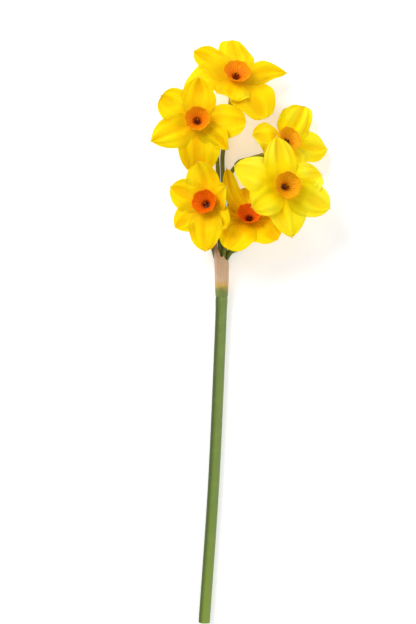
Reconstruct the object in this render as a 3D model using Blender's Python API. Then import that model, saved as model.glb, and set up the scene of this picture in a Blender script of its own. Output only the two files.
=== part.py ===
"""One cut flowering stem of a many-headed daffodil, lying on a flat surface.

A hollow green stem ends in an umbel of six florets. Each floret has a thin pedicel that swells into
the ovary and goes on as the flower tube, then six tepals in two whorls of three, a small cup (the
corona) and the stamens in its throat. A papery spathe wraps the foot of the umbel.

Lengths are millimetres times MM, +Z is up, and the stem lies along Y with its flowers at +Y. The
origin is the middle of the object's footprint, on the surface that it lies on.
"""
import math
from collections import namedtuple

import bmesh
import bpy
import numpy as np
from mathutils import Matrix, Vector

MM = 0.001

# The umbel's joint in plan, from the origin. Plan positions below are measured from this joint, and
# heights from the surface.
JOINT = (-9.45, 17.9)
JOINT_HEIGHT = 4.1

# Stem
STEM_LENGTH = 168.0
STEM_WIDTH = 5.8
STEM_FLATNESS = 0.92
STEM_SWAY = (-9.0, -1.0)  # how far the cut end and the upper bend stand to the side
STEM_BEND = 27.0  # distance of that upper bend below the joint
NECK_WIDTH = 5.0
COLLAR_WIDTH = 6.2

# Spathe
SPATHE_BORE = 2.75
SPATHE_WALL = 0.4
SPATHE_RIM = 17.0
SPATHE_FLAP = 13.0  # how much further its one pointed flap reaches
SPATHE_FLAP_TURN = 140.0
SPATHE_START = 0.5  # below the joint

# Florets
CUP_HEIGHT = 5.4
CUP_WIDTH = 12.5
CUP_WALL = 0.55
EYE_ABOVE_TEPALS = 5.0
MOUTH_RADIUS = 2.4  # where the tepals spring from
TEPAL_THICKNESS = 0.5
WHORL_OFFSET = 0.55  # the front whorl stands this far before the middle sheet, the back one behind
SEAT_GAP = 0.3
SHEET_START = 3.0  # flat over the tube's mouth, then curved up to the full reach
SHEET_REACH = 25.0
SHEET_LIFT = (-14.0, 12.0)  # the most that a tepal pulls the sheet back or forward
WHORL_CLEARANCE = 5.0  # degrees left free between tepals of one whorl at their feet
OVARY_LENGTH = 7.5
PEDICEL_RADIUS = 1.0
PEDICEL_SHEATHED_RADIUS = 0.8
PEDICEL_FOOT_RADIUS = 0.7
FOOT_RING = 1.75

# Each tepal: the direction of its tip round the floret's face, the tip's distance from the middle and
# its height over the face, the width, the roll of its outer half in degrees, and how pointed it is.
Tepal = namedtuple("Tepal", "turn reach lift width roll point")
# Each floret: the middle of its cup's rim, the way it faces, its tepals in order, front whorl first,
# the place of its foot on the ring of pedicels in degrees, the length of its tube, and the way that
# the tube and pedicel take down to the foot.
Floret = namedtuple("Floret", "name eye facing lemon tepals foot tube route")

FLORETS = (
    Floret(
        "top", (7.8, 113.3, 22.1), (0.13, 0.54, 0.83), False,
        (
            Tepal(10, 28.5, -3, 14, 35, 0.9),
            Tepal(84, 26, 0, 20, 0, 0.5),
            Tepal(142, 26.5, 1, 20, 0, 0.75),
            Tepal(184, 25.5, -5, 20, 0, 0.5),
            Tepal(255, 18.5, 3, 20, 0, 0.6),
            Tepal(301, 26.5, -5, 24, 0, 0.4),
        ),
        120, 25,
        ((5.2, 101.5, 7.9), (4.3, 96, 4.8), (3.3, 90, 3), (2.6, 85.8, 2.3), (1.9, 81.5, 1.9),
         (0.5, 72, 1.7), (0.7, 61, 1.8), (0.9, 45, 2.3), (-0.5, 25, 4.3), (-1.1, 14, 5.4)),
    ),
    Floret(
        "upper_left", (-12.3, 88.1, 34.1), (0, 0.2, 0.98), False,
        (
            Tepal(86, 22.5, 4, 19, 0, 0.75),
            Tepal(144, 23, 1, 20, 0, 0.4),
            Tepal(204, 26, 0, 19, 0, 0.8),
            Tepal(274, 24.5, -12.5, 24, 0, 0.5),
            Tepal(316, 22, 1, 13, 40, 0.8),
            Tepal(359, 25, 2, 20, 0, 0.45),
        ),
        240, 25,
        ((-11, 85.4, 15.7), (-8.5, 84, 9.6), (-5.6, 81.5, 4.3), (-3.8, 78, 1.9), (-2.6, 74, 1.5),
         (-1.8, 61, 1.3), (-1.6, 40, 1.3), (-1.2, 30, 1.4), (-0.7, 21, 1.6), (-0.8, 12, 2.2)),
    ),
    Floret(
        "upper_right", (34.3, 79.4, 22.1), (0.49, 0.37, 0.79), True,
        (
            Tepal(48, 25.5, 2, 20, 0, 0.4),
            Tepal(70, 23, -1, 12, 25, 0.7),
            Tepal(171, 20, 0, 20, 0, 0.65),
            Tepal(228, 19, 0, 18, 0, 0.6),
            Tepal(295, 17, 0, 18, 0, 0.6),
            Tepal(356, 27, 0, 22, 0, 0.55),
        ),
        60, 25,
        ((24.2, 72.9, 8.3), (19.5, 71.8, 5.4), (14.5, 70.6, 3.7), (11, 69.3, 3.1), (7.8, 67.2, 2.7),
         (5.2, 64, 2.3), (4.4, 58, 2.1), (3.8, 42, 2.6), (2.4, 30, 4.7), (0.9, 20, 6.1),
         (0.7, 10, 6)),
    ),
    Floret(
        "right", (32.6, 54.8, 36.1), (0.3, 0.1, 0.95), True,
        (
            Tepal(98, 26, 0, 19, 0, 0.7),
            Tepal(155, 27, -6, 20, 0, 0.55),
            Tepal(211, 20, -3, 20, 0, 0.45),
            Tepal(279, 26, -2, 21, 0, 0.75),
            Tepal(336, 26.5, 0, 21, 0, 0.6),
            Tepal(18, 21.5, 0.5, 20, 0, 0.5),
        ),
        300, 25.5,
        ((27.2, 53.3, 17.9), (24.9, 51.9, 11.3), (22.6, 49.8, 5.5), (19.8, 46.6, 2.1), (17, 42.8, 1.3),
         (11.5, 36, 1.1), (6, 29, 1.1), (2.3, 22, 1.5), (1.1, 15, 2.2), (0.8, 8, 2.6)),
    ),
    Floret(
        "middle_left", (-9, 47.15, 31.1), (-0.25, 0.25, 0.93), False,
        (
            Tepal(21, 14, 11, 15, 0, 0.6),
            Tepal(101, 21, 8.5, 19, 0, 0.5),
            Tepal(155, 21, 3, 18, 0, 0.6),
            Tepal(216, 20, 0, 17, 0, 0.6),
            Tepal(271, 24.5, -2, 19, 0, 0.6),
            Tepal(312, 17, 0, 15, 0, 0.6),
        ),
        195, 25,
        ((-4.9, 41.5, 13.6), (-4.7, 38, 8.2), (-4.9, 34.5, 4.4), (-5.2, 30.5, 2.3), (-4.9, 26.5, 1.9),
         (-3.6, 21.5, 2.1), (-1.8, 15, 3.6), (-1.7, 8, 3.7)),
    ),
    Floret(
        "middle_right", (13.8, 41.7, 24.1), (0, 0.6, 0.8), False,
        (
            Tepal(43, 18, 0, 16, 0, 0.7),
            Tepal(88, 20, 1, 16, 0, 0.6),
            Tepal(118, 24.5, 12, 15, 0, 0.65),
            Tepal(174, 15, 3, 16, 0, 0.6),
            Tepal(240, 22.5, -1, 20, 0, 0.45),
            Tepal(318, 19.5, 0, 20, 0, 0.5),
        ),
        0, 19.5,
        ((13.7, 32, 10.7), (12.9, 29.8, 7.4), (10.8, 27.5, 4.6), (8, 25, 3.6), (4.4, 22.3, 4),
         (1.9, 16.5, 4.4), (1.8, 7, 4.2)),
    ),
)

# Colour, roughness
GREEN = ((0.13, 0.24, 0.05, 1), 0.45)
OLIVE = ((0.16, 0.22, 0.03, 1), 0.45)
PAPER = ((0.52, 0.36, 0.2, 1), 0.8)
YELLOW = ((0.95, 0.62, 0.01, 1), 0.5)
LEMON = ((0.93, 0.75, 0.02, 1), 0.5)
ORANGE = ((0.98, 0.2, 0.01, 1), 0.5)
AMBER = ((0.85, 0.36, 0.01, 1), 0.5)
POLLEN = ((0.35, 0.12, 0.01, 1), 0.8)


def clear_objects():
    """Empty the file of objects."""
    for thing in list(bpy.data.objects):
        bpy.data.objects.remove(thing, do_unlink=True)


def finish(name, look):
    """Give a Principled material of this name."""
    colour, roughness = look
    material = bpy.data.materials.get(name) or bpy.data.materials.new(name)
    material.use_nodes = True
    shader = material.node_tree.nodes["Principled BSDF"]
    shader.inputs["Base Color"].default_value = colour
    shader.inputs["Roughness"].default_value = roughness
    shader.inputs["Metallic"].default_value = 0.0
    return material


def add_mesh(name, points, faces, look, parent):
    """Add a named object from points in millimetres."""
    mesh = bpy.data.meshes.new(name)
    mesh.from_pydata([Vector(p) * MM for p in points], [], faces)
    work = bmesh.new()
    work.from_mesh(mesh)
    bmesh.ops.recalc_face_normals(work, faces=work.faces)
    work.to_mesh(mesh)
    work.free()
    mesh.shade_smooth()
    mesh.materials.append(finish(name, look))
    thing = bpy.data.objects.new(name, mesh)
    bpy.context.collection.objects.link(thing)
    thing.parent = parent
    return thing


def smooth_step(low, high, value):
    """Rise smoothly from 0 at low to 1 at high."""
    x = min(max((value - low) / (high - low), 0.0), 1.0)
    return x * x * (3 - 2 * x)


# ---- swept stalks


def smooth_path(route, step):
    """Sample a Catmull-Rom curve through the route, about one point per step."""
    points = [Vector(p) for p in route]
    padded = [points[0] * 2 - points[1], *points, points[-1] * 2 - points[-2]]
    path = []
    for a, b, c, d in zip(padded, padded[1:], padded[2:], padded[3:]):
        count = max(1, round((c - b).length / step))
        for i in range(count):
            t = i / count
            path.append(
                0.5 * (2 * b + (c - a) * t + (2 * a - 5 * b + 4 * c - d) * t**2
                       + (3 * b - a - 3 * c + d) * t**3)
            )
    path.append(points[-1])
    return path


def distances(path):
    """Distance of each point along the path."""
    total = [0.0]
    for a, b in zip(path, path[1:]):
        total.append(total[-1] + (b - a).length)
    return total


def sweep(path, radii, sides, flatness=1.0, first=None, last=None):
    """Loft rings of the given radii along a path, closed at both ends. The ends may face a given way."""
    points = []
    side = Vector((1, 0, 0))
    for i, centre in enumerate(path):
        along = path[min(i + 1, len(path) - 1)] - path[max(i - 1, 0)]
        if i == 0 and first:
            along = Vector(first)
        if i == len(path) - 1 and last:
            along = Vector(last)
        along.normalize()
        side = (side - along * side.dot(along)).normalized()
        across = along.cross(side)
        for k in range(sides):
            angle = math.tau * k / sides
            ring = side * math.cos(angle) + across * math.sin(angle) * flatness
            points.append(centre + ring * radii[i])
    faces = []
    for i in range(len(path) - 1):
        for k in range(sides):
            a = i * sides + k
            b = i * sides + (k + 1) % sides
            faces.append((a, b, b + sides, a + sides))
    faces.append(tuple(reversed(range(sides))))
    faces.append(tuple(range(len(points) - sides, len(points))))
    return points, faces


def stem_route():
    """The stem's axis from the cut end to the joint."""
    rest = STEM_WIDTH / 2 * STEM_FLATNESS
    end, bend = STEM_SWAY
    middle = STEM_LENGTH / 2 + STEM_BEND / 2
    return (
        (end, -STEM_LENGTH, rest),
        ((end + bend) / 2 + 0.8, -middle, rest),
        (bend, -STEM_BEND, (rest + JOINT_HEIGHT) / 2),
        (0, 0, JOINT_HEIGHT),
    )


def build_stem(parent):
    """The leafless green stem with the collar under the spathe."""
    path = smooth_path(stem_route(), 12)
    radii = [STEM_WIDTH / 2 for _ in path]
    collar = ((3.2, STEM_WIDTH / 2), (2.2, COLLAR_WIDTH / 2), (1.1, COLLAR_WIDTH / 2),
              (0.8, NECK_WIDTH / 2), (0.0, NECK_WIDTH / 2))
    top = path.pop()
    before = path[-1]
    radii.pop()
    direction = (top - before).normalized()
    for below, radius in collar:
        path.append(top - direction * below)
        radii.append(radius)
    points, faces = sweep(path, radii, 14, STEM_FLATNESS, first=(0, 1, 0), last=(0, 1, 0))
    return add_mesh("stem", points, faces, GREEN, parent)


# ---- spathe


def spathe_point(turn, along):
    """A point of the sleeve's middle surface. Turn runs once round from the underside."""
    angle = math.tau * turn - math.pi / 2
    from_flap = (math.degrees(angle) - SPATHE_FLAP_TURN) / 24
    flap = math.exp(-from_flap * from_flap)
    top = SPATHE_RIM + 3 * math.sin(angle) + SPATHE_FLAP * flap
    y = -SPATHE_START + (top + SPATHE_START) * along
    swell = 1 + 0.16 * math.sin(math.pi * along) + 0.04 * math.cos(5 * angle) * along
    flare = (0.6 + 1.2 * flap) * along**3
    radius = (SPATHE_BORE + SPATHE_WALL / 2) * swell + flare
    return Vector((radius * math.cos(angle), y, JOINT_HEIGHT + radius * math.sin(angle)))


def build_spathe(parent):
    """The papery sleeve round the foot of the umbel, split and cut low at its upper side."""
    around, steps = 14, 6
    points = [spathe_point(k / around, i / steps) for i in range(steps + 1) for k in range(around)]
    faces = []
    for i in range(steps):
        for k in range(around):
            a = i * around + k
            b = i * around + (k + 1) % around
            faces.append((a, b, b + around, a + around))
    spathe = add_mesh("spathe", points, faces, PAPER, parent)
    wall = spathe.modifiers.new("wall", "SOLIDIFY")
    wall.thickness = SPATHE_WALL * MM
    wall.offset = 0.0
    return spathe


# ---- florets


def face_frame(floret):
    """The floret's middle between its whorls, and its right, upward and facing directions."""
    facing = Vector(floret.facing).normalized()
    upward = (Vector((0, 1, 0)) - facing * facing.y).normalized()
    right = upward.cross(facing)
    middle = Vector(floret.eye) - facing * EYE_ABOVE_TEPALS
    return middle, right, upward, facing


def add_frame(floret, parent):
    """An empty at the floret's middle, with Z the way it faces."""
    middle, right, upward, facing = face_frame(floret)
    frame = bpy.data.objects.new(f"floret_{floret.name}", None)
    bpy.context.collection.objects.link(frame)
    frame.parent = parent
    turn = Matrix((right, upward, facing)).transposed().to_4x4()
    frame.matrix_local = Matrix.Translation(middle * MM) @ turn
    return frame


def sheet_height(floret, x, y):
    """Height of the smooth sheet that all six tepals of a floret follow."""
    reach = math.hypot(x, y)
    turn = math.atan2(y, x)
    total = weights = 0.0
    for tepal in floret.tepals:
        weight = math.exp(5 * (math.cos(turn - math.radians(tepal.turn)) - 1))
        pull = tepal.lift * (SHEET_REACH / tepal.reach) ** 1.6
        total += weight * min(max(pull, SHEET_LIFT[0]), SHEET_LIFT[1])
        weights += weight
    rise = max(reach - SHEET_START, 0.0) / (SHEET_REACH - SHEET_START)
    return total / weights * rise**1.6


def whorl_room(floret, index):
    """Half the angle, in radians, that a tepal may fill before it meets its own whorl's next tepal."""
    turns = [tepal.turn for tepal in floret.tepals]
    gaps = [(turns[(index + 2) % 6] - turns[index]) % 360, (turns[index] - turns[index - 2]) % 360]
    return math.radians(min(gaps) / 2 - WHORL_CLEARANCE)


def half_width(floret, index, along):
    """Half the tepal's width at a place along it, from a snug foot to a pointed tip."""
    tepal = floret.tepals[index]
    foot = 0.5 + 0.5 * math.sin(math.pi / 2 * min(along / 0.5, 1.0))
    tip = max(1 - along**3.2, 0.0) ** tepal.point
    free = max(tepal.width / 2 * foot * tip, 1e-6)
    outward = MOUTH_RADIUS + (tepal.reach - MOUTH_RADIUS) * along
    room = outward * math.tan(min(whorl_room(floret, index), math.radians(60)))
    return (free**-4 + room**-4) ** -0.25


def tepal_point(floret, index, along, across):
    """A point of a tepal's middle surface in the floret's frame; across runs from -1 to 1."""
    tepal = floret.tepals[index]
    turn = math.radians(tepal.turn)
    outward = MOUTH_RADIUS + (tepal.reach - MOUTH_RADIUS) * along
    outer = smooth_step(0.35, 1.0, along)
    roll = math.radians(tepal.roll) * outer
    side = half_width(floret, index, along) * across
    x = math.cos(turn) * outward - math.sin(turn) * side * math.cos(roll)
    y = math.sin(turn) * outward + math.cos(turn) * side * math.cos(roll)
    tip_x = math.cos(turn) * tepal.reach
    tip_y = math.sin(turn) * tepal.reach
    own_lift = (tepal.lift - sheet_height(floret, tip_x, tip_y)) * outer
    whorl = WHORL_OFFSET if index % 2 == 0 else -WHORL_OFFSET
    z = sheet_height(floret, x, y) + whorl + own_lift + side * math.sin(roll)
    return Vector((x, y, z))


def build_tepal(floret, index, frame):
    """One tepal: a grid that closes to a point at the tip, given its thickness."""
    stations = (0.0, 0.14, 0.3, 0.47, 0.64, 0.8, 0.92)
    across = (-1.0, -0.5, 0.0, 0.5, 1.0)
    points = [tepal_point(floret, index, s, t) for s in stations for t in across]
    points.append(tepal_point(floret, index, 1.0, 0.0))
    width = len(across)
    faces = []
    for i in range(len(stations) - 1):
        for k in range(width - 1):
            a = i * width + k
            faces.append((a, a + 1, a + width + 1, a + width))
    last = (len(stations) - 1) * width
    for k in range(width - 1):
        faces.append((last + k, last + k + 1, len(points) - 1))
    look = LEMON if floret.lemon else YELLOW
    tepal = add_mesh(f"tepal_{floret.name}_{index + 1}", points, faces, look, frame)
    body = tepal.modifiers.new("thickness", "SOLIDIFY")
    body.thickness = TEPAL_THICKNESS * MM
    body.offset = 0.0
    return tepal


def cup_profile():
    """Radius and height points round the cup's wall, outer side first."""
    foot = WHORL_OFFSET + TEPAL_THICKNESS / 2 + SEAT_GAP
    rim = CUP_WIDTH / 2
    outer = []
    for step in range(5):
        t = step / 4
        outer.append((3.0 + (rim - 3.0) * t**0.8, foot + (CUP_HEIGHT - foot) * t**1.15))
    inner = [(r - CUP_WALL * 0.95, h + CUP_WALL * 0.55) for r, h in reversed(outer)]
    return outer + inner


def build_cup(floret, frame):
    """The corona, a turned cup open at both ends."""
    profile = cup_profile()
    sides = 16
    points = []
    for k in range(sides):
        angle = math.tau * k / sides
        for r, h in profile:
            points.append((r * math.cos(angle), r * math.sin(angle), h))
    count = len(profile)
    faces = []
    for k in range(sides):
        for j in range(count):
            a = k * count + j
            b = k * count + (j + 1) % count
            c = (k + 1) % sides * count + (j + 1) % count
            d = (k + 1) % sides * count + j
            faces.append((a, b, c, d))
    return add_mesh(f"corona_{floret.name}", points, faces, AMBER if floret.lemon else ORANGE, frame)


def build_stamens(floret, frame):
    """The anthers packed round the style in the throat, as one ribbed column on the tube's mouth."""
    foot = tube_mouth_drop() * -1 + SEAT_GAP
    levels = ((foot, 0.9), (0.6, 0.9), (1.2, 1.35), (2.6, 1.45), (3.3, 0.9), (3.9, 0.5))
    sides = 12
    points = []
    for height, radius in levels:
        for k in range(sides):
            angle = math.tau * k / sides
            lobe = radius * (1 + 0.14 * (-1) ** k)
            points.append((lobe * math.cos(angle), lobe * math.sin(angle), height))
    faces = []
    for i in range(len(levels) - 1):
        for k in range(sides):
            a = i * sides + k
            b = i * sides + (k + 1) % sides
            faces.append((a, b, b + sides, a + sides))
    faces.append(tuple(reversed(range(sides))))
    faces.append(tuple(range(len(points) - sides, len(points))))
    return add_mesh(f"stamens_{floret.name}", points, faces, POLLEN, frame)


def tube_mouth_drop():
    """How far the tube's mouth lies behind the floret's middle."""
    return WHORL_OFFSET + TEPAL_THICKNESS / 2 + SEAT_GAP


def pedicel_radius(behind, tube, length):
    """Radius at a distance behind the tube's mouth: flare, tube, ovary, then the stalk."""
    ovary = tube + OVARY_LENGTH / 2
    places = (0, 0.6, 1.6, 4, tube / 2, tube - 1, ovary - 2, ovary, ovary + 2,
              tube + OVARY_LENGTH, length - 18, length - 12, length)
    radii = (3.1, 2.8, 2.2, 1.8, 1.5, 1.3, 1.75, 1.9, 1.7,
             1.1, PEDICEL_RADIUS, PEDICEL_SHEATHED_RADIUS, PEDICEL_FOOT_RADIUS)
    return float(np.interp(behind, places, radii))


def pedicel_route(floret):
    """Points from the tube's mouth down to the foot on the stem's top."""
    middle, _, _, facing = face_frame(floret)
    mouth = middle - facing * tube_mouth_drop()
    angle = math.radians(floret.foot)
    foot = Vector((FOOT_RING * math.cos(angle), SEAT_GAP, JOINT_HEIGHT + FOOT_RING * math.sin(angle)))
    return [mouth, mouth - facing * 1.2, mouth - facing * 6, *floret.route, foot]


def build_pedicel(floret, parent):
    """The pedicel, ovary and flower tube, which grow as one piece."""
    path = smooth_path(pedicel_route(floret), 3.2)
    along = distances(path)
    radii = [pedicel_radius(d, floret.tube, along[-1]) for d in along]
    facing = Vector(floret.facing).normalized()
    points, faces = sweep(path, radii, 8, first=-facing, last=(0, -1, 0))
    return add_mesh(f"pedicel_{floret.name}", points, faces, OLIVE, parent)


def build_floret(floret, parent):
    """All the pieces of one floret."""
    frame = add_frame(floret, parent)
    build_pedicel(floret, parent)
    for index in range(len(floret.tepals)):
        build_tepal(floret, index, frame)
    build_cup(floret, frame)
    build_stamens(floret, frame)


def main():
    """Build the whole stem under one empty at the joint."""
    clear_objects()
    whole = bpy.data.objects.new("daffodil", None)
    bpy.context.collection.objects.link(whole)
    whole.location = Vector((JOINT[0], JOINT[1], 0)) * MM
    build_stem(whole)
    build_spathe(whole)
    for floret in FLORETS:
        build_floret(floret, whole)


main()
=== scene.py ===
"""Looks of one cut flowering stem of a many-headed daffodil, lying on a pale floor.

The stem lies along Y with its flowers at +Y, facing +Z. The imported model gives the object's place and
size; this script gives every petal, cup, stalk and sheath its fine surface and its finish.
"""

import logging
import math
from dataclasses import dataclass, field
from enum import Enum

import bmesh
import bpy
import numpy as np
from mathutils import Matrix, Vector


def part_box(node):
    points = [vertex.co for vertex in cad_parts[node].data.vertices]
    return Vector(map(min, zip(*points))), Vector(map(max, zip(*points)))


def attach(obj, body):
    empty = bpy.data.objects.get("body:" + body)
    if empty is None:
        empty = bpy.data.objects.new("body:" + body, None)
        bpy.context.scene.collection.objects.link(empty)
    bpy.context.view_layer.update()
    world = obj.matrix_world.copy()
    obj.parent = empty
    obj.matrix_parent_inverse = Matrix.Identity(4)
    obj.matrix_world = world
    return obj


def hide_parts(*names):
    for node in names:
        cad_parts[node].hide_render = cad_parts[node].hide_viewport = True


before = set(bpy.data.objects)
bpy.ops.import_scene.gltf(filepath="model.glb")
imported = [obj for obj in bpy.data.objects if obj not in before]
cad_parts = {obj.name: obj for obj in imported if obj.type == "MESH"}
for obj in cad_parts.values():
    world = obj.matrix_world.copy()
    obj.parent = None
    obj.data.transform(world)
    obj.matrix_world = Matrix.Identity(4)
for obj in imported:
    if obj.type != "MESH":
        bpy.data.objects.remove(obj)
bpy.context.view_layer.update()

MM = 0.001
WELD = 1e-7  # metres between points that count as one
LOG = logging.getLogger("daffodil")
Colour = tuple[float, float, float]
Place = tuple[float, float, float]
Socket = bpy.types.NodeSocket
Feed = Socket | float | bool | str | tuple[float, ...]
Faces = list[tuple[int, ...]]


# ---------------------------------------------------------------- design of the florets


@dataclass(frozen=True)
class Tepal:
    """One of a floret's six petals.

    Turn is the direction of the tip round the floret's face in degrees, reach the tip's distance from
    the middle and lift its height over the face in millimetres. Roll turns the outer half about its
    midrib, and point says how pointed the tip is: the lower, the rounder.
    """

    turn: float
    reach: float
    lift: float
    width: float
    roll: float
    point: float
    crease: float = 0.5  # depth of the groove along the midrib
    pleat: float = 0.12  # depth of the side folds
    wave: float = 0.45  # height of the ruffles along the edges
    arch: float = 0.0  # how far the outer half bows forward before the tip
    sway: float = 0.0  # how far the tip bends to the left, seen with the tip upward
    bow: float = 0.0  # how far the middle bends to the left
    cup: float = 0.0  # how far the edges of the outer half stand forward
    pale: float = 0.25  # how strongly the outer half's crests are painted pale, a painted highlight for light coming through


class Tint(Enum):
    """The three colourings of florets on the stem."""

    GOLDEN = "golden petals, orange cup"
    APRICOT = "golden petals, light orange cup"
    LEMON = "lemon petals, amber cup"


@dataclass(frozen=True)
class FloretPlan:
    """Where one floret stands and how it is shaped; plan positions are measured from the umbel's joint."""

    name: str
    eye: Place
    facing: Place
    tint: Tint
    tepals: tuple[Tepal, ...]
    foot: float
    tube: float
    route: tuple[Place, ...]
    flare: float = 1.0  # how wide the cup opens, as a part of the usual width


FLORETS = (
    FloretPlan(
        "top", (7.8, 113.3, 22.1), (0.13, 0.54, 0.83), Tint.APRICOT,
        (
            Tepal(10, 28.5, -3, 14, 35, 0.9, crease=0.5, wave=0.6, sway=1.0, bow=2.6),
            Tepal(84, 26, 0, 20, 0, 0.45, crease=0.4, wave=0.9, pleat=0.2, sway=2.0, pale=0.5),
            Tepal(142, 26.5, 1, 20, 0, 0.75, crease=0.4, wave=0.9, bow=-1.0, pale=0.1),
            Tepal(178, 27, -5, 20, 0, 0.45, crease=0.3, arch=2.5, sway=4.5, pale=0.55),
            Tepal(255, 18.5, 3, 20, 0, 0.6, crease=0.2, wave=1.0, pale=0.5),
            Tepal(301, 26.5, -5, 27, 0, 0.38, crease=0.3, arch=1.5, wave=0.8),
        ),
        120, 25,
        ((5.2, 101.5, 7.9), (4.3, 96, 4.8), (3.3, 90, 3), (2.6, 85.8, 2.3), (1.9, 81.5, 1.9),
         (0.5, 72, 1.7), (0.7, 61, 1.8), (0.9, 45, 2.3), (-0.5, 25, 4.3), (-1.1, 14, 5.4)),
        flare=1.1,
    ),
    FloretPlan(
        "upper_left", (-12.3, 88.1, 34.1), (0, 0.2, 0.98), Tint.APRICOT,
        (
            Tepal(86, 22.5, 4, 19, 0, 0.75, crease=0.6, pleat=0.2, sway=0.8, pale=0.05),
            Tepal(144, 23, 1, 20, 0, 0.4, crease=0.4, cup=0.5, pale=0.3),
            Tepal(204, 26, 0, 19, 0, 0.8, crease=0.6, arch=0.8, pale=0.5),
            Tepal(274, 24.5, -12.5, 24, 0, 0.5, crease=0.4, arch=1.5, pleat=0.25, pale=0.15),
            Tepal(316, 22, 1, 13, 40, 0.8, crease=0.6, bow=1.0, pale=0.1),
            Tepal(359, 25, 2, 20, 0, 0.45, crease=0.3, arch=0.8, pale=0.4),
        ),
        240, 25,
        ((-11, 85.4, 15.7), (-8.5, 84, 9.6), (-5.6, 81.5, 4.3), (-3.8, 78, 1.9), (-2.6, 74, 1.5),
         (-1.8, 61, 1.3), (-1.6, 40, 1.3), (-1.2, 30, 1.4), (-0.7, 21, 1.6), (-0.8, 12, 2.2)),
    ),
    FloretPlan(
        "upper_right", (34.3, 79.4, 22.1), (0.49, 0.37, 0.79), Tint.LEMON,
        (
            Tepal(52, 26, 2, 19, 0, 0.5, crease=1.1, cup=1.0, pleat=0.3, wave=0.9),
            Tepal(70, 23, -1, 12, 25, 0.7, crease=0.8, pale=0.0),
            Tepal(171, 20, 0, 20, 0, 0.65, crease=0.5, wave=0.8),
            Tepal(228, 19, 0, 18, 0, 0.6),
            Tepal(295, 17, 0, 18, 0, 0.6, crease=0.2),
            Tepal(356, 27, 0, 21, 0, 0.7, crease=0.8, pleat=0.05),
        ),
        60, 25,
        ((24.2, 72.9, 8.3), (19.5, 71.8, 5.4), (14.5, 70.6, 3.7), (11, 69.3, 3.1), (7.8, 67.2, 2.7),
         (5.2, 64, 2.3), (4.4, 58, 2.1), (3.8, 42, 2.6), (2.4, 30, 4.7), (0.9, 20, 6.1), (0.7, 10, 6)),
    ),
    FloretPlan(
        "right", (32.6, 54.8, 36.1), (0.3, 0.1, 0.95), Tint.LEMON,
        (
            Tepal(98, 26, 0, 19, 0, 0.7, crease=0.6, pleat=0.3, pale=0.5),
            Tepal(155, 27, -6, 20, 0, 0.55, crease=0.3, wave=0.7, arch=1.0, pale=1.0),
            Tepal(211, 20, -3, 20, 0, 0.45, crease=0.3, wave=0.7, pale=0.3),
            Tepal(279, 26, -2, 21, 0, 0.75, crease=-0.5, pale=0.4),
            Tepal(336, 26.5, 0, 21, 0, 0.6, crease=0.4, pleat=0.2, pale=0.7),
            Tepal(18, 21.5, 0.5, 20, 0, 0.5, crease=0.3, wave=0.8, cup=0.5, pale=0.9),
        ),
        300, 25.5,
        ((27.2, 53.3, 17.9), (24.9, 51.9, 11.3), (22.6, 49.8, 5.5), (19.8, 46.6, 2.1), (17, 42.8, 1.3),
         (11.5, 36, 1.1), (6, 29, 1.1), (2.3, 22, 1.5), (1.1, 15, 2.2), (0.8, 8, 2.6)),
        flare=1.09,
    ),
    FloretPlan(
        "middle_left", (-9, 47, 31.1), (-0.25, 0.25, 0.93), Tint.GOLDEN,
        (
            Tepal(21, 14, 11, 15, 0, 0.6, crease=0.3, cup=0.8, pale=0.4),
            Tepal(101, 21, 8.5, 19, 0, 0.5, crease=0.5, pale=0.4),
            Tepal(155, 21, 3, 18, 0, 0.6, crease=0.4),
            Tepal(216, 20, 0, 17, 0, 0.6, crease=0.4),
            Tepal(271, 24.5, -2, 19, 0, 0.6, crease=0.6, pleat=0.25, pale=0.05),
            Tepal(312, 17, 0, 15, 0, 0.6, crease=0.3, cup=0.8),
        ),
        195, 25,
        ((-4.9, 41.5, 13.6), (-4.7, 38, 8.2), (-4.9, 34.5, 4.4), (-5.2, 30.5, 2.3), (-4.9, 26.5, 1.9),
         (-3.6, 21.5, 2.1), (-1.8, 15, 3.6), (-1.7, 8, 3.7)),
    ),
    FloretPlan(
        "middle_right", (13.8, 41.7, 24.1), (0, 0.6, 0.8), Tint.GOLDEN,
        (
            Tepal(43, 18, 0, 16, 0, 0.7, pale=0.0),
            Tepal(94, 21.5, 1, 19, 0, 0.6, crease=0.3, pale=0.0),
            Tepal(116, 26.5, 12, 11, 0, 0.6, crease=0.6, bow=1.5, pale=0.8),
            Tepal(174, 15, 3, 16, 0, 0.6, crease=0.3, cup=1.0, pale=0.4),
            Tepal(240, 22.5, -1, 20, 0, 0.45, crease=0.3, wave=0.7, pale=0.3),
            Tepal(318, 19.5, 0, 20, 0, 0.5, crease=0.3, wave=0.6, pale=0.2),
        ),
        0, 19.5,
        ((13.7, 32, 10.7), (12.9, 29.8, 7.4), (10.8, 27.5, 4.6), (8, 25, 3.6), (4.4, 22.3, 4),
         (1.9, 16.5, 4.4), (1.8, 7, 4.2)),
    ),
)


STAMEN_SIZES = {
    "Anthers": 3, "Ring Radius": 0.95 * MM, "Length": 2.9 * MM, "Width": 0.42 * MM, "Height": 1.8 * MM,
    "Grains": 3.5e6, "Grain Radius": 0.05 * MM,
}


# ---------------------------------------------------------------- small helpers


def smooth_step(low: float, high: float, value: float | np.ndarray) -> np.ndarray:
    """Rise smoothly from 0 at low to 1 at high, for a number or an array."""
    x = np.clip((np.asarray(value, float) - low) / (high - low), 0.0, 1.0)
    return x * x * (3 - 2 * x)


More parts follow.
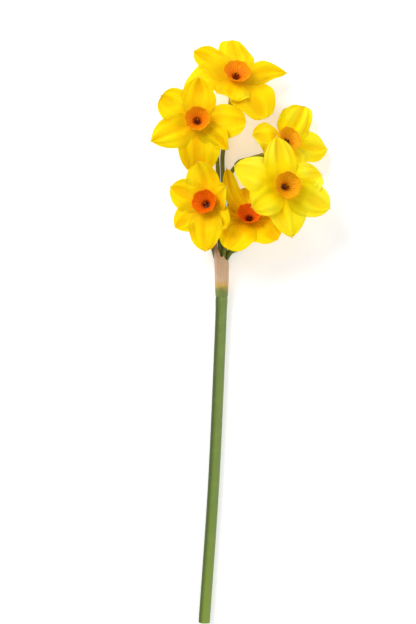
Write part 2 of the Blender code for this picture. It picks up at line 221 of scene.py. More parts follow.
def smooth_path(route: list[Vector], step: float) -> list[Vector]:
    """Sample a Catmull-Rom curve through a route.

    Args:
        route: the points that the curve passes through.
        step: about how far apart the samples lie.

    Returns:
        The sampled points, first and last included.
    """
    padded = [route[0] * 2 - route[1], *route, route[-1] * 2 - route[-2]]
    path = []
    for a, b, c, d in zip(padded, padded[1:], padded[2:], padded[3:]):
        count = max(1, round((c - b).length / step))
        for i in range(count):
            t = i / count
            path.append(
                0.5 * (2 * b + (c - a) * t + (2 * a - 5 * b + 4 * c - d) * t**2
                       + (3 * b - a - 3 * c + d) * t**3)
            )
    path.append(route[-1])
    return path


def distances(path: list[Vector]) -> np.ndarray:
    """Distance of each point along a path."""
    points = np.array(path)
    return np.concatenate([[0.0], np.cumsum(np.linalg.norm(np.diff(points, axis=0), axis=1))])


def finish_mesh(work: bmesh.types.BMesh, mesh: bpy.types.Mesh) -> bpy.types.Object:
    """Turn a worked mesh's faces outward, smooth its shading and put it in the scene.

    Args:
        work: the faces as they are to be.
        mesh: the mesh that takes them.

    Returns:
        The new object, named after its mesh.
    """
    bmesh.ops.recalc_face_normals(work, faces=work.faces)
    work.to_mesh(mesh)
    work.free()
    mesh.shade_smooth()
    thing = bpy.data.objects.new(mesh.name, mesh)
    bpy.context.scene.collection.objects.link(thing)
    return thing


def add_mesh(name: str, points: np.ndarray, faces: Faces) -> bpy.types.Object:
    """Add a smooth-shaded object from points in millimetres in the row frame.

    Args:
        name: the object's name.
        points: one row per vertex.
        faces: vertex numbers of each face.

    Returns:
        The new object, at the origin, unturned and unscaled.
    """
    mesh = bpy.data.meshes.new(name)
    mesh.from_pydata((np.asarray(points) * MM).tolist(), [], faces)
    mesh.validate()
    work = bmesh.new()
    work.from_mesh(mesh)
    return finish_mesh(work, mesh)


def store_floats(mesh: bpy.types.Mesh, name: str, values: np.ndarray) -> None:
    """Store one number per vertex in a named attribute of a mesh."""
    attribute = mesh.attributes.get(name) or mesh.attributes.new(name, "FLOAT", "POINT")
    attribute.data.foreach_set("value", np.asarray(values, np.float32))


def vertex_places(mesh: bpy.types.Mesh) -> np.ndarray:
    """Read a mesh's vertices.

    Args:
        mesh: the mesh.

    Returns:
        One row per vertex, in metres.
    """
    places = np.empty(len(mesh.vertices) * 3)
    mesh.vertices.foreach_get("co", places)
    return places.reshape(-1, 3)


def move_vertices(mesh: bpy.types.Mesh, places: np.ndarray) -> None:
    """Move a mesh's vertices to new places, in metres."""
    mesh.vertices.foreach_set("co", places.ravel())
    mesh.update()


def ring_wall(around: int, steps: int) -> Faces:
    """Close a ring-shaped wall between an outer and an inner grid of points.

    Args:
        around: how many points each ring has.
        steps: how many bands lie between the first ring and the last.

    Returns:
        The faces, for the outer grid's points followed by the inner grid's.
    """
    inner = around * (steps + 1)
    last = around * steps
    faces = []
    for k in range(around):
        k2 = (k + 1) % around
        for i in range(steps):
            a, b = i * around + k, i * around + k2
            faces.append((a, b, b + around, a + around))
            faces.append((inner + a, inner + a + around, inner + b + around, inner + b))
        faces.append((k2, k, inner + k, inner + k2))
        faces.append((last + k, last + k2, inner + last + k2, inner + last + k))
    return faces


def two_sided(middle: np.ndarray, half_thickness: np.ndarray) -> tuple[np.ndarray, Faces]:
    """Close a grid of points into a thin lens whose rim is shared by both sides.

    Args:
        middle: the middle surface, as rows by columns by 3.
        half_thickness: how far each side stands from it, as rows by columns.

    Returns:
        The points of the front side, then those of the back side's inner points, and the faces.
    """
    rows, columns, _ = middle.shape
    down = np.gradient(middle, axis=0)
    side = np.gradient(middle, axis=1)
    normal = np.cross(side, down)
    normal /= np.maximum(np.linalg.norm(normal, axis=2, keepdims=True), 1e-9)
    offset = normal * half_thickness[..., None]
    front = (middle + offset).reshape(-1, 3)
    back = (middle - offset)[1:-1, 1:-1].reshape(-1, 3)

    def front_id(i: int, k: int) -> int:
        """Number of a front point."""
        return i * columns + k

    def back_id(i: int, k: int) -> int:
        """Number of a back point, which on the rim is the front one."""
        if i in (0, rows - 1) or k in (0, columns - 1):
            return front_id(i, k)
        return rows * columns + (i - 1) * (columns - 2) + (k - 1)

    faces = []
    for i in range(rows - 1):
        for k in range(columns - 1):
            faces.append((front_id(i, k), front_id(i, k + 1), front_id(i + 1, k + 1), front_id(i + 1, k)))
            faces.append((back_id(i, k), back_id(i + 1, k), back_id(i + 1, k + 1), back_id(i, k + 1)))
    return np.concatenate([front, back]), faces


# ---------------------------------------------------------------- node trees


class TreeBuilder:
    """Adds nodes to a shader or geometry tree and links them."""

    def __init__(self, tree: bpy.types.NodeTree) -> None:
        """Keep the tree that the nodes go into."""
        self.tree = tree

    def node(self, kind: str, feeds: dict[int | str, Feed] | None = None,
             **settings: object) -> bpy.types.Node:
        """Add a node.

        Args:
            kind: the node's type name.
            feeds: what goes into its inputs, by name or number.
            settings: properties to set on it.

        Returns:
            The new node.
        """
        node = self.tree.nodes.new(kind)
        for key, value in settings.items():
            setattr(node, key, value)
        for key, value in (feeds or {}).items():
            self.feed(node.inputs[key], value)
        return node

    def feed(self, socket: Socket, value: Feed) -> None:
        """Link an output socket to an input, or set the input's own value.

        Args:
            socket: the input.
            value: an output socket or a plain value.
        """
        if isinstance(value, Socket):
            self.tree.links.new(value, socket)
        else:
            socket.default_value = value

    def math(self, operation: str, *values: Feed) -> Socket:
        """Give the output of a new Math node that has these values."""
        return self.node("ShaderNodeMath", dict(enumerate(values)), operation=operation).outputs[0]

    def times(self, first: Feed, second: Feed) -> Socket:
        """Multiply two values."""
        return self.math("MULTIPLY", first, second)

    def plus(self, first: Feed, second: Feed) -> Socket:
        """Add two values."""
        return self.math("ADD", first, second)

    def minus(self, first: Feed, second: Feed) -> Socket:
        """Subtract the second value from the first."""
        return self.math("SUBTRACT", first, second)

    def blend(self, factor: Feed, low: Socket | Colour, high: Socket | Colour) -> Socket:
        """Mix two colours.

        Args:
            factor: how much of the second colour there is.
            low: the first colour.
            high: the second colour.

        Returns:
            The mixed colour.
        """
        low, high = (side if isinstance(side, Socket) else (*side, 1) for side in (low, high))
        return self.node("ShaderNodeMix", {0: factor, 6: low, 7: high}, data_type="RGBA").outputs[2]

    def remap(self, value: Feed, low: float, high: float, out_low: float = 0.0,
              out_high: float = 1.0) -> Socket:
        """Move a value smoothly from one range to another.

        Args:
            value: the value.
            low: start of its own range.
            high: end of its own range.
            out_low: what the start becomes.
            out_high: what the end becomes.

        Returns:
            The new value, held within the new range.
        """
        feeds = dict(enumerate((value, low, high, out_low, out_high)))
        return self.node("ShaderNodeMapRange", feeds, interpolation_type="SMOOTHSTEP").outputs[0]

    def attribute(self, name: str) -> Socket:
        """Read a number that the mesh stores per vertex."""
        return self.node("ShaderNodeAttribute", attribute_name=name).outputs["Fac"]

    def group(self, tree: bpy.types.NodeTree, **values: Feed) -> bpy.types.Node:
        """Place a node group and set its inputs by name, with spaces written as underscores."""
        feeds = {key.replace("_", " "): value for key, value in values.items()}
        return self.node("ShaderNodeGroup", feeds, node_tree=tree)


def new_group(
    name: str, inputs: dict[str, float], outputs: dict[str, str]
) -> tuple[bpy.types.NodeTree, TreeBuilder, bpy.types.Node, bpy.types.Node]:
    """Start a shader node group.

    Args:
        name: the group's name.
        inputs: number inputs and their defaults.
        outputs: output names and their socket types.

    Returns:
        The group, a builder for it, its input node and its output node.
    """
    tree = bpy.data.node_groups.new(name, "ShaderNodeTree")
    for label, default in inputs.items():
        socket = tree.interface.new_socket(label, in_out="INPUT", socket_type="NodeSocketFloat")
        socket.default_value = default
    for label, kind in outputs.items():
        tree.interface.new_socket(label, in_out="OUTPUT", socket_type=kind)
    builder = TreeBuilder(tree)
    return tree, builder, builder.node("NodeGroupInput"), builder.node("NodeGroupOutput")


def make_vein_group() -> bpy.types.NodeTree:
    """Build fine lengthwise veins from the piece's own across and along numbers.

    Returns:
        The group, with a mask of the veins and their height.
    """
    tree, build, given, result = new_group(
        "lengthwise_veins",
        {"Count": 18.0, "Wander": 0.5, "Sharpness": 3.0},
        {"Mask": "NodeSocketFloat", "Height": "NodeSocketFloat"},
    )
    across = build.attribute("across")
    along = build.attribute("along")
    place = build.node("ShaderNodeCombineXYZ", {0: across, 1: build.times(along, 1.3)})
    wander = build.node("ShaderNodeTexNoise", {"Vector": place.outputs[0], "Scale": 2.0, "Detail": 1.0})
    shift = build.times(build.minus(wander.outputs[0], 0.5), given.outputs["Wander"])
    phase = build.times(build.plus(across, shift), given.outputs["Count"])
    wave = build.math("COSINE", build.times(phase, math.pi))
    line = build.plus(build.times(wave, 0.5), 0.5)
    mask = build.math("POWER", line, given.outputs["Sharpness"])
    build.feed(result.inputs["Mask"], mask)
    build.feed(result.inputs["Height"], build.minus(1.0, mask))
    return tree


def make_fibre_group() -> bpy.types.NodeTree:
    """Build uneven lengthwise streaks, as in dry sheaths and fresh stalks.

    Returns:
        The group, with the streaks' strength.
    """
    tree, build, given, result = new_group(
        "fibres", {"Across": 30.0, "Along": 2.0}, {"Streak": "NodeSocketFloat"}
    )
    place = build.node("ShaderNodeCombineXYZ", {
        0: build.times(build.attribute("across"), given.outputs["Across"]),
        1: build.times(build.attribute("along"), given.outputs["Along"]),
    })
    noise = build.node("ShaderNodeTexNoise", {"Vector": place.outputs[0], "Scale": 1.0, "Detail": 4.0})
    build.feed(result.inputs["Streak"], noise.outputs[0])
    return tree


def make_mottle_group() -> bpy.types.NodeTree:
    """Build soft cloudy variation over the surface, and a fine cell-like grain.

    Returns:
        The group, with the clouds and the grain.
    """
    tree, build, given, result = new_group(
        "soft_mottle",
        {"Size": 120.0, "Grain Size": 2600.0},
        {"Cloud": "NodeSocketFloat", "Grain": "NodeSocketFloat"},
    )
    place = build.node("ShaderNodeTexCoord").outputs["Object"]
    for label, size, detail in (("Cloud", "Size", 3.0), ("Grain", "Grain Size", 2.0)):
        noise = build.node("ShaderNodeTexNoise", {
            "Vector": place, "Scale": given.outputs[size], "Detail": detail,
        })
        build.feed(result.inputs[label], noise.outputs[0])
    return tree


class Effects:
    """The shader node groups that the materials share, built once."""

    def __init__(self) -> None:
        """Build the groups."""
        self.veins = make_vein_group()
        self.fibres = make_fibre_group()
        self.mottle = make_mottle_group()


def start_material(name: str) -> tuple[bpy.types.Material, TreeBuilder, bpy.types.Node]:
    """Start a material.

    Args:
        name: the material's name.

    Returns:
        The material, a builder for its tree and its Principled shader.
    """
    material = bpy.data.materials.new(name)
    material.use_nodes = True
    return material, TreeBuilder(material.node_tree), material.node_tree.nodes["Principled BSDF"]


def set_inputs(node: bpy.types.Node, values: dict[str, float | tuple[float, ...]]) -> None:
    """Set the values on a node's own input sockets."""
    for label, value in values.items():
        node.inputs[label].default_value = value


def add_bump(build: TreeBuilder, shader: bpy.types.Node, height: Socket, depth: float,
             below: Socket | None = None) -> Socket:
    """Add relief to a shader.

    Args:
        build: the builder for the material's tree.
        shader: the material's shader.
        height: the relief's height, from 0 to 1.
        depth: its depth in millimetres.
        below: the normal of a relief that this one lies on.

    Returns:
        The relief's normal.
    """
    feeds = {"Height": height} if below is None else {"Height": height, "Normal": below}
    bump = build.node("ShaderNodeBump", feeds)
    set_inputs(bump, {"Strength": 1.0, "Distance": depth * MM})
    build.feed(shader.inputs["Normal"], bump.outputs[0])
    return bump.outputs[0]


# ---------------------------------------------------------------- finishes


@dataclass(frozen=True)
class Skin:
    """Everything about a surface but its colours.

    Clouds and grains are counted for each metre, veins are given as count, wander and sharpness, and
    fibres as how fine they are around and along. Relief names the marks that stand out, from the lowest
    layer up, with their depth in millimetres, and shader gives the shader's own values.
    """

    clouds: float
    grains: float
    rough: tuple[float, float]
    relief: dict[str, float]
    shader: dict[str, float | tuple[float, ...]]
    veins: dict[str, tuple[float, float, float]] = field(default_factory=dict)
    fibres: tuple[float, float] | None = None


@dataclass(frozen=True)
class Finish:
    """A plant's surface. Each kind states its skin and paints its own colours."""

    name: str

    def skin(self) -> Skin:
        """State the skin."""
        raise NotImplementedError

    def colour(self, build: TreeBuilder, marks: dict[str, Socket]) -> Socket:
        """Paint the colours.

        Args:
            build: the builder for the material's tree.
            marks: the cloud, grain, veins and fibres on the surface, by name.

        Returns:
            The colour.
        """
        raise NotImplementedError

    def make(self, effects: Effects) -> bpy.types.Material:
        """Build the material.

        Args:
            effects: the shared shader groups.

        Returns:
            The material.
        """
        skin = self.skin()
        material, build, shader = start_material(self.name)
        mottle = build.group(effects.mottle, Size=skin.clouds, Grain_Size=skin.grains)
        marks = {"cloud": mottle.outputs["Cloud"], "grain": mottle.outputs["Grain"]}
        for name, (count, wander, sharpness) in skin.veins.items():
            veins = build.group(effects.veins, Count=count, Wander=wander, Sharpness=sharpness)
            marks[name] = veins.outputs["Mask"]
            marks[name + " valley"] = veins.outputs["Height"]
        if skin.fibres:
            around, along = skin.fibres
            marks["streak"] = build.group(effects.fibres, Across=around, Along=along).outputs["Streak"]
        build.feed(shader.inputs["Base Color"], self.colour(build, marks))
        build.feed(shader.inputs["Roughness"], build.remap(marks["grain"], 0.3, 0.7, *skin.rough))
        set_inputs(shader, skin.shader)
        normal = None
        for mark, depth in skin.relief.items():
            normal = add_bump(build, shader, marks[mark], depth, normal)
        return material


@dataclass(frozen=True)
class TepalFinish(Finish):
    """Soft petal flesh: a body colour, painted deeper at the foot and in the folds as painted shade,
    and paler at tip and crests as painted highlight.
    """

    body: Colour
    deep_and_painted_shade: Colour
    pale: Colour
    nib: Colour

    def skin(self) -> Skin:
        """State the petal's skin.

        Returns:
            The marks, roughness and shader settings.
        """
        return Skin(
            140.0, 3200.0, (0.5, 0.65), {"grain": 0.025, "vein valley": 0.05},
            {"Subsurface Weight": 0.35, "Subsurface Scale": 0.0015, "Subsurface Radius": (1.0, 0.7, 0.05),
             "Specular IOR Level": 0.04},
            veins={"vein": (19.0, 0.18, 2.5)},
        )

    def colour(self, build: TreeBuilder, marks: dict[str, Socket]) -> Socket:
        """Paint shade into foot and folds, and painted highlight onto tip and crests.

        Args:
            build: the builder for the material's tree.
            marks: the marks on the surface, by name.

        Returns:
            The colour.
        """
        along = build.attribute("along")
        relief = build.attribute("relief")
        # Painted shade: the foot near the cup and the grooves of the folds are painted deeper; the veins
        # are their own colour.
        foot = build.remap(build.plus(along, build.times(marks["cloud"], 0.25)), 0.15, 0.7, 0.7, 0.0)
        colour = build.blend(foot, self.body, self.deep_and_painted_shade)
        colour = build.blend(build.remap(relief, -0.7, 0.1, 0.6, 0.0), colour, self.deep_and_painted_shade)
        # Painted highlight: the raised crests of the outer half are painted pale, standing for light
        # shining through.
        painted_crest_highlight = build.times(build.remap(relief, -0.1, 0.7, 0.35, 1.0), build.remap(along, 0.3, 0.7))
        colour = build.blend(build.times(painted_crest_highlight, build.attribute("pale")), colour, self.pale)
        colour = build.blend(build.times(marks["vein"], 0.16), colour, self.deep_and_painted_shade)
        colour = build.blend(build.remap(marks["cloud"], 0.5, 0.75, 0.0, 0.2), colour, self.pale)
        return build.blend(build.times(build.attribute("nib"), 0.6), colour, self.nib)


@dataclass(frozen=True)
class CoronaFinish(Finish):
    """The cup's waxy flesh: streaked wall, a throat painted deeper as painted shade, and a bright rim."""

    wall: Colour
    streak: Colour
    rim: Colour
    throat: Colour

    def skin(self) -> Skin:
        """State the cup's skin.

        Returns:
            The marks, roughness and shader settings.
        """
        return Skin(
            420.0, 4200.0, (0.38, 0.55), {"vein valley": 0.05},
            {"Subsurface Weight": 0.2, "Subsurface Scale": 0.001, "Subsurface Radius": (1.0, 0.4, 0.05),
             "Specular IOR Level": 0.1},
            veins={"vein": (46.0, 0.12, 1.6), "broad vein": (12.0, 0.35, 1.6)},
        )

    def colour(self, build: TreeBuilder, marks: dict[str, Socket]) -> Socket:
        """Streak the wall, set off the rim, and paint shade into the throat.

        Args:
            build: the builder for the material's tree.
            marks: the marks on the surface, by name.

        Returns:
            The colour.
        """
        along = build.attribute("along")
        both = build.plus(build.times(marks["vein"], 0.6), marks["broad vein"])
        streaks = build.times(both, build.remap(along, 0.2, 0.95, 1.0, 0.2))
        colour = build.blend(streaks, self.wall, self.streak)
        colour = build.blend(build.times(marks["cloud"], 0.35), colour, self.streak)
        colour = build.blend(build.remap(along, 0.82, 1.0, 0.0, 0.9), colour, self.rim)
        # Painted shade: the sunken throat at the cup's base is painted a deeper colour.
        return build.blend(build.remap(along, 0.04, 0.27, 0.95, 0.0), colour, self.throat)


@dataclass(frozen=True)
class StalkFinish(Finish):
    """Fresh green stalk: ribbed and waxy, changing colour from one end to the other.

    Mouth colours the very end face at the start: a flower tube's inside, painted dark as painted shade, or
    a stem's cut. The flank strength is how much darker one flank of a flattened stem is painted, as painted
    shade, with painted light on the other flank and a narrow darker ridge at that flank's outer edge.
    """

    start: Colour
    middle: Colour
    end: Colour
    change: tuple[float, float]
    bloom: Colour
    mouth: Colour
    ribs: float
    # strength of the painted shade on one flank, the painted light on the other, and the darker ridge
    keel_and_painted_shade: float = 0.0
    shade: Colour = (0.05, 0.075, 0.012)
    painted_light: Colour = (0.24, 0.34, 0.075)

    def skin(self) -> Skin:
        """State the stalk's skin.

        Returns:
            The marks, roughness and shader settings.
        """
        return Skin(
            160.0, 3600.0, (0.36, 0.55), {"grain": 0.02, "vein": 0.06},
            {"Subsurface Weight": 0.08, "Subsurface Scale": 0.001, "Specular IOR Level": 0.3,
             "Coat Weight": 0.05, "Coat Roughness": 0.4},
            veins={"vein": (self.ribs, 0.04, 2.0)},
            fibres=(26.0, 8.0),
        )

    def colour(self, build: TreeBuilder, marks: dict[str, Socket]) -> Socket:
        """Change the green along the stalk, with a waxy bloom on ribs, clouds and fibres.

        Args:
            build: the builder for the material's tree.
            marks: the marks on the surface, by name.

        Returns:
            The colour.
        """
        along = build.attribute("along")
        low, high = self.change
        colour = build.blend(build.remap(along, 0.0, low), self.start, self.middle)
        colour = build.blend(build.remap(along, low, high), colour, self.end)
        colour = build.blend(build.times(marks["vein"], 0.18), colour, self.bloom)
        colour = build.blend(build.remap(marks["cloud"], 0.45, 0.7, 0.0, 0.25), colour, self.bloom)
        colour = build.blend(build.remap(marks["streak"], 0.5, 0.75, 0.0, 0.35), colour, self.bloom)
        if self.keel_and_painted_shade:
            # Painted shade and painted light: one flank is painted darker and the other lighter, as light
            # would fall, with a narrow darker ridge along the lighter flank's outer edge.
            turn = build.math("MULTIPLY_ADD", build.attribute("across"), math.tau, math.pi)
            side = build.math("COSINE", turn)
            colour = build.blend(build.remap(side, -0.1, 0.75, 0.5 * self.keel_and_painted_shade, 0.0), colour, self.painted_light)
            colour = build.blend(build.remap(side, 0.05, 0.95, 0.0, self.keel_and_painted_shade), colour, self.shade)
            colour = build.blend(build.remap(side, -0.99, -0.85, 0.6 * self.keel_and_painted_shade, 0.0), colour, self.shade)
        # The end face: a stem's cut flesh, or a flower tube's inside painted dark as painted shade.
        return build.blend(build.remap(along, 0.0002, 0.002, 1.0, 0.0), colour, self.mouth)


@dataclass(frozen=True)
class SpatheFinish(Finish):
    """Dry papery sheath: green at its foot, then yellow, then tan with brown veins and a burnt tip."""

    foot: Colour
    turning: Colour
    paper: Colour
    pale: Colour
    vein: Colour
    tip: Colour

    def skin(self) -> Skin:
        """State the sheath's skin.

        Returns:
            The marks, roughness and shader settings.
        """
        return Skin(
            260.0, 3000.0, (0.55, 0.8), {"cloud": 0.15, "streak": 0.3},
            {"Subsurface Weight": 0.3, "Subsurface Scale": 0.0008, "Specular IOR Level": 0.3},
            veins={"vein": (30.0, 0.05, 2.2)},
            fibres=(34.0, 3.0),
        )

    def colour(self, build: TreeBuilder, marks: dict[str, Socket]) -> Socket:
        """Dry the sheath from a ragged line upward, in millimetres above the joint.

        Args:
            build: the builder for the material's tree.
            marks: the marks on the surface, by name.

        Returns:
            The colour.
        """
        streak = build.minus(marks["streak"], 0.5)
        ragged = build.plus(build.attribute("reach"), build.times(build.minus(marks["cloud"], 0.5), 6.0))
        ragged = build.plus(ragged, build.times(streak, 7.0))
        dry = build.remap(ragged, 5.0, 9.0)
        colour = build.blend(build.remap(ragged, 2.5, 6.0), self.foot, self.turning)
        colour = build.blend(dry, colour, self.paper)
        line = build.times(marks["vein"], build.math("MULTIPLY_ADD", dry, 0.22, 0.06))
        colour = build.blend(line, colour, self.vein)
        colour = build.blend(build.remap(streak, 0.0, 0.25, 0.0, 0.45), colour, self.vein)
        colour = build.blend(build.remap(streak, -0.25, -0.02, 0.5, 0.0), colour, self.pale)
        return build.blend(build.remap(ragged, 19.0, 26.0, 0.0, 0.85), colour, self.tip)


@dataclass(frozen=True)
class AntherFinish(Finish):
    """Pollen-dusted anthers, brown under orange dust, on a paler style."""

    dark: Colour
    dust: Colour
    style: Colour

    def skin(self) -> Skin:
        """State the anthers' skin."""
        return Skin(1400.0, 6000.0, (0.6, 0.9), {"cloud": 0.08}, {"Specular IOR Level": 0.05})

    def colour(self, build: TreeBuilder, marks: dict[str, Socket]) -> Socket:
        """Dust the anthers and set off the style."""
        colour = build.blend(build.remap(marks["cloud"], 0.42, 0.62), self.dark, self.dust)
        return build.blend(build.attribute("style"), colour, self.style)


GOLDEN_PETAL = TepalFinish(
    "petal_golden", (0.98, 0.62, 0.0), (0.82, 0.4, 0.0), (1.0, 0.82, 0.01), (0.93, 0.86, 0.5)
)
LEMON_PETAL = TepalFinish(
    "petal_lemon", (1.0, 0.75, 0.0), (0.95, 0.55, 0.0), (1.0, 0.87, 0.05), (0.95, 0.88, 0.6)
)
DEEP_CUP = CoronaFinish(
    "cup_orange", (1.0, 0.27, 0.001), (0.86, 0.08, 0.0), (1.0, 0.19, 0.001), (0.6, 0.05, 0.0)
)
LIGHT_CUP = CoronaFinish(
    "cup_apricot", (0.98, 0.48, 0.003), (0.88, 0.12, 0.0), (0.97, 0.36, 0.002), (0.8, 0.09, 0.0)
)
AMBER_CUP = CoronaFinish(
    "cup_amber", (0.95, 0.56, 0.005), (0.82, 0.24, 0.0), (0.92, 0.32, 0.002), (0.8, 0.2, 0.0)
)
STEM_FINISH = StalkFinish(
    "stem_green", (0.22, 0.31, 0.02), (0.13, 0.2, 0.022), (0.11, 0.16, 0.03), (0.4, 0.9),
    (0.27, 0.36, 0.09), (0.5, 0.6, 0.25), 26.0, keel_and_painted_shade=0.9,
)
PEDICEL_FINISH = StalkFinish(
    "pedicel_olive", (0.88, 0.55, 0.005), (0.3, 0.32, 0.02), (0.11, 0.15, 0.015), (0.18, 0.42),
    # the second colour paints the tube's inside dark, as painted shade
    (0.26, 0.3, 0.05), (0.12, 0.03, 0.0), 10.0,
)
SPATHE_FINISH = SpatheFinish(
    "papery_sheath", (0.17, 0.25, 0.05), (0.66, 0.42, 0.08), (0.72, 0.5, 0.34), (0.9, 0.74, 0.58),
    (0.36, 0.19, 0.1), (0.24, 0.1, 0.05),
)
ANTHER_FINISH = AntherFinish("pollen", (0.03, 0.008, 0.001), (0.16, 0.045, 0.001), (0.3, 0.12, 0.003))


# ---------------------------------------------------------------- stalks and stamens by geometry nodes


class GrownTree:
    """A geometry tree with named inputs, which grows a source object into a plain mesh object."""

    def __init__(self, name: str, inputs: dict[str, str]) -> None:
        """Build the tree and note its inputs' identifiers.

        Args:
            name: the tree's name.
            inputs: its inputs' names and socket types, besides the geometry and the finish.
        """
        self.tree = bpy.data.node_groups.new(name, "GeometryNodeTree")
        face = self.tree.interface
        for way in ("INPUT", "OUTPUT"):
            face.new_socket("Geometry", in_out=way, socket_type="NodeSocketGeometry")
        kinds = {**inputs, "Finish": "NodeSocketMaterial"}
        self.sockets = {
            label: face.new_socket(label, in_out="INPUT", socket_type=kind).identifier
            for label, kind in kinds.items()
        }
        build = TreeBuilder(self.tree)
        given = build.node("NodeGroupInput")
        whole = build.node("GeometryNodeRealizeInstances", {0: self.shape(build, given)})
        dressed = build.node("GeometryNodeSetMaterial", {
            "Geometry": whole.outputs[0], "Material": given.outputs["Finish"],
        })
        build.node("NodeGroupOutput", {0: dressed.outputs[0]})

    def shape(self, build: TreeBuilder, given: bpy.types.Node) -> Socket:
        """Add the tree's own nodes, which each kind of tree brings itself.

        Args:
            build: the tree's builder.
            given: the tree's input node.

        Returns:
            The grown geometry.
        """
        raise NotImplementedError

    def run(self, source: bpy.types.Object, name: str, values: dict[str, object]) -> bpy.types.Object:
        """Grow a source object, then drop it.

        Args:
            source: the object that carries the tree.
            name: the finished object's name.
            values: what the tree's inputs are set to.

        Returns:
            The finished object, a plain mesh at the origin.
        """
        bpy.context.scene.collection.objects.link(source)
        modifier = source.modifiers.new(self.tree.name, "NODES")
        modifier.node_group = self.tree
        for label, value in values.items():
            modifier[self.sockets[label]] = value
        bpy.context.view_layer.update()
        seen = source.evaluated_get(bpy.context.evaluated_depsgraph_get())
        mesh = bpy.data.meshes.new_from_object(seen)
        mesh.name = name
        work = bmesh.new()
        work.from_mesh(mesh)
        bmesh.ops.remove_doubles(work, verts=work.verts, dist=WELD)
        bpy.data.objects.remove(source, do_unlink=True)
        return finish_mesh(work, mesh)


class StalkTree(GrownTree):
    """Sweeps a ribbed round section along a curve."""

    def __init__(self) -> None:
        """Build the tree."""
        super().__init__("stalk", {
            "Sides": "NodeSocketInt", "Ribs": "NodeSocketInt", "Rib Depth": "NodeSocketFloat",
        })

    def shape(self, build: TreeBuilder, given: bpy.types.Node) -> Socket:
        """Sweep the section along the curve and mark each place along and around it.

        Args:
            build: the tree's builder.
            given: the tree's input node.

        Returns:
            The stalk.
        """
        along = build.node("GeometryNodeSplineParameter")
        mark_along = build.node("GeometryNodeStoreNamedAttribute", {
            "Geometry": given.outputs["Geometry"], "Name": "along", "Value": along.outputs["Factor"],
        }, data_type="FLOAT", domain="POINT")
        circle = build.node("GeometryNodeCurvePrimitiveCircle", {
            "Resolution": given.outputs["Sides"], "Radius": 1.0,
        })
        around = build.node("GeometryNodeSplineParameter")
        mark_around = build.node("GeometryNodeStoreNamedAttribute", {
            "Geometry": circle.outputs["Curve"], "Name": "across", "Value": around.outputs["Factor"],
        }, data_type="FLOAT", domain="POINT")
        turn = build.times(around.outputs["Factor"], math.tau)
        ripple = build.math("COSINE", build.times(turn, given.outputs["Ribs"]))
        grow = build.plus(build.times(ripple, given.outputs["Rib Depth"]), 1.0)
        place = build.node("GeometryNodeInputPosition")
        swell = build.node("ShaderNodeVectorMath", {0: place.outputs[0], "Scale": grow}, operation="SCALE")
        shaped = build.node("GeometryNodeSetPosition", {
            "Geometry": mark_around.outputs[0], "Position": swell.outputs[0],
        })
        sweep = build.node("GeometryNodeCurveToMesh", {
            "Curve": mark_along.outputs[0], "Profile Curve": shaped.outputs[0],
            "Scale": build.node("GeometryNodeInputRadius").outputs[0], "Fill Caps": True,
        })
        return sweep.outputs[0]

    def grow(self, name: str, path: list[Vector], radii: np.ndarray, sides: int, ribs: int, depth: float,
             finish: bpy.types.Material) -> bpy.types.Object:
        """Sweep a stalk and turn it into a plain mesh object.

        Args:
            name: the finished object's name.
            path: the axis, in millimetres in the row frame.
            radii: one radius for each point of the path.
            sides: how many sides the section has.
            ribs: how many ribs run along it.
            depth: the ribs' height as a part of the radius.
            finish: the stalk's material.

        Returns:
            The finished object at the origin.
        """
        curve = bpy.data.curves.new(name + "_axis", "CURVE")
        curve.dimensions = "3D"
        curve.twist_mode = "MINIMUM"
        spline = curve.splines.new("POLY")
        spline.points.add(len(path) - 1)
        for point, place, radius in zip(spline.points, path, radii):
            point.co = (*(Vector(place) * MM), 1)
            point.radius = radius * MM
        axis = bpy.data.objects.new(name + "_axis", curve)
        values = {"Sides": sides, "Ribs": ribs, "Rib Depth": depth, "Finish": finish}
        return self.run(axis, name, values)


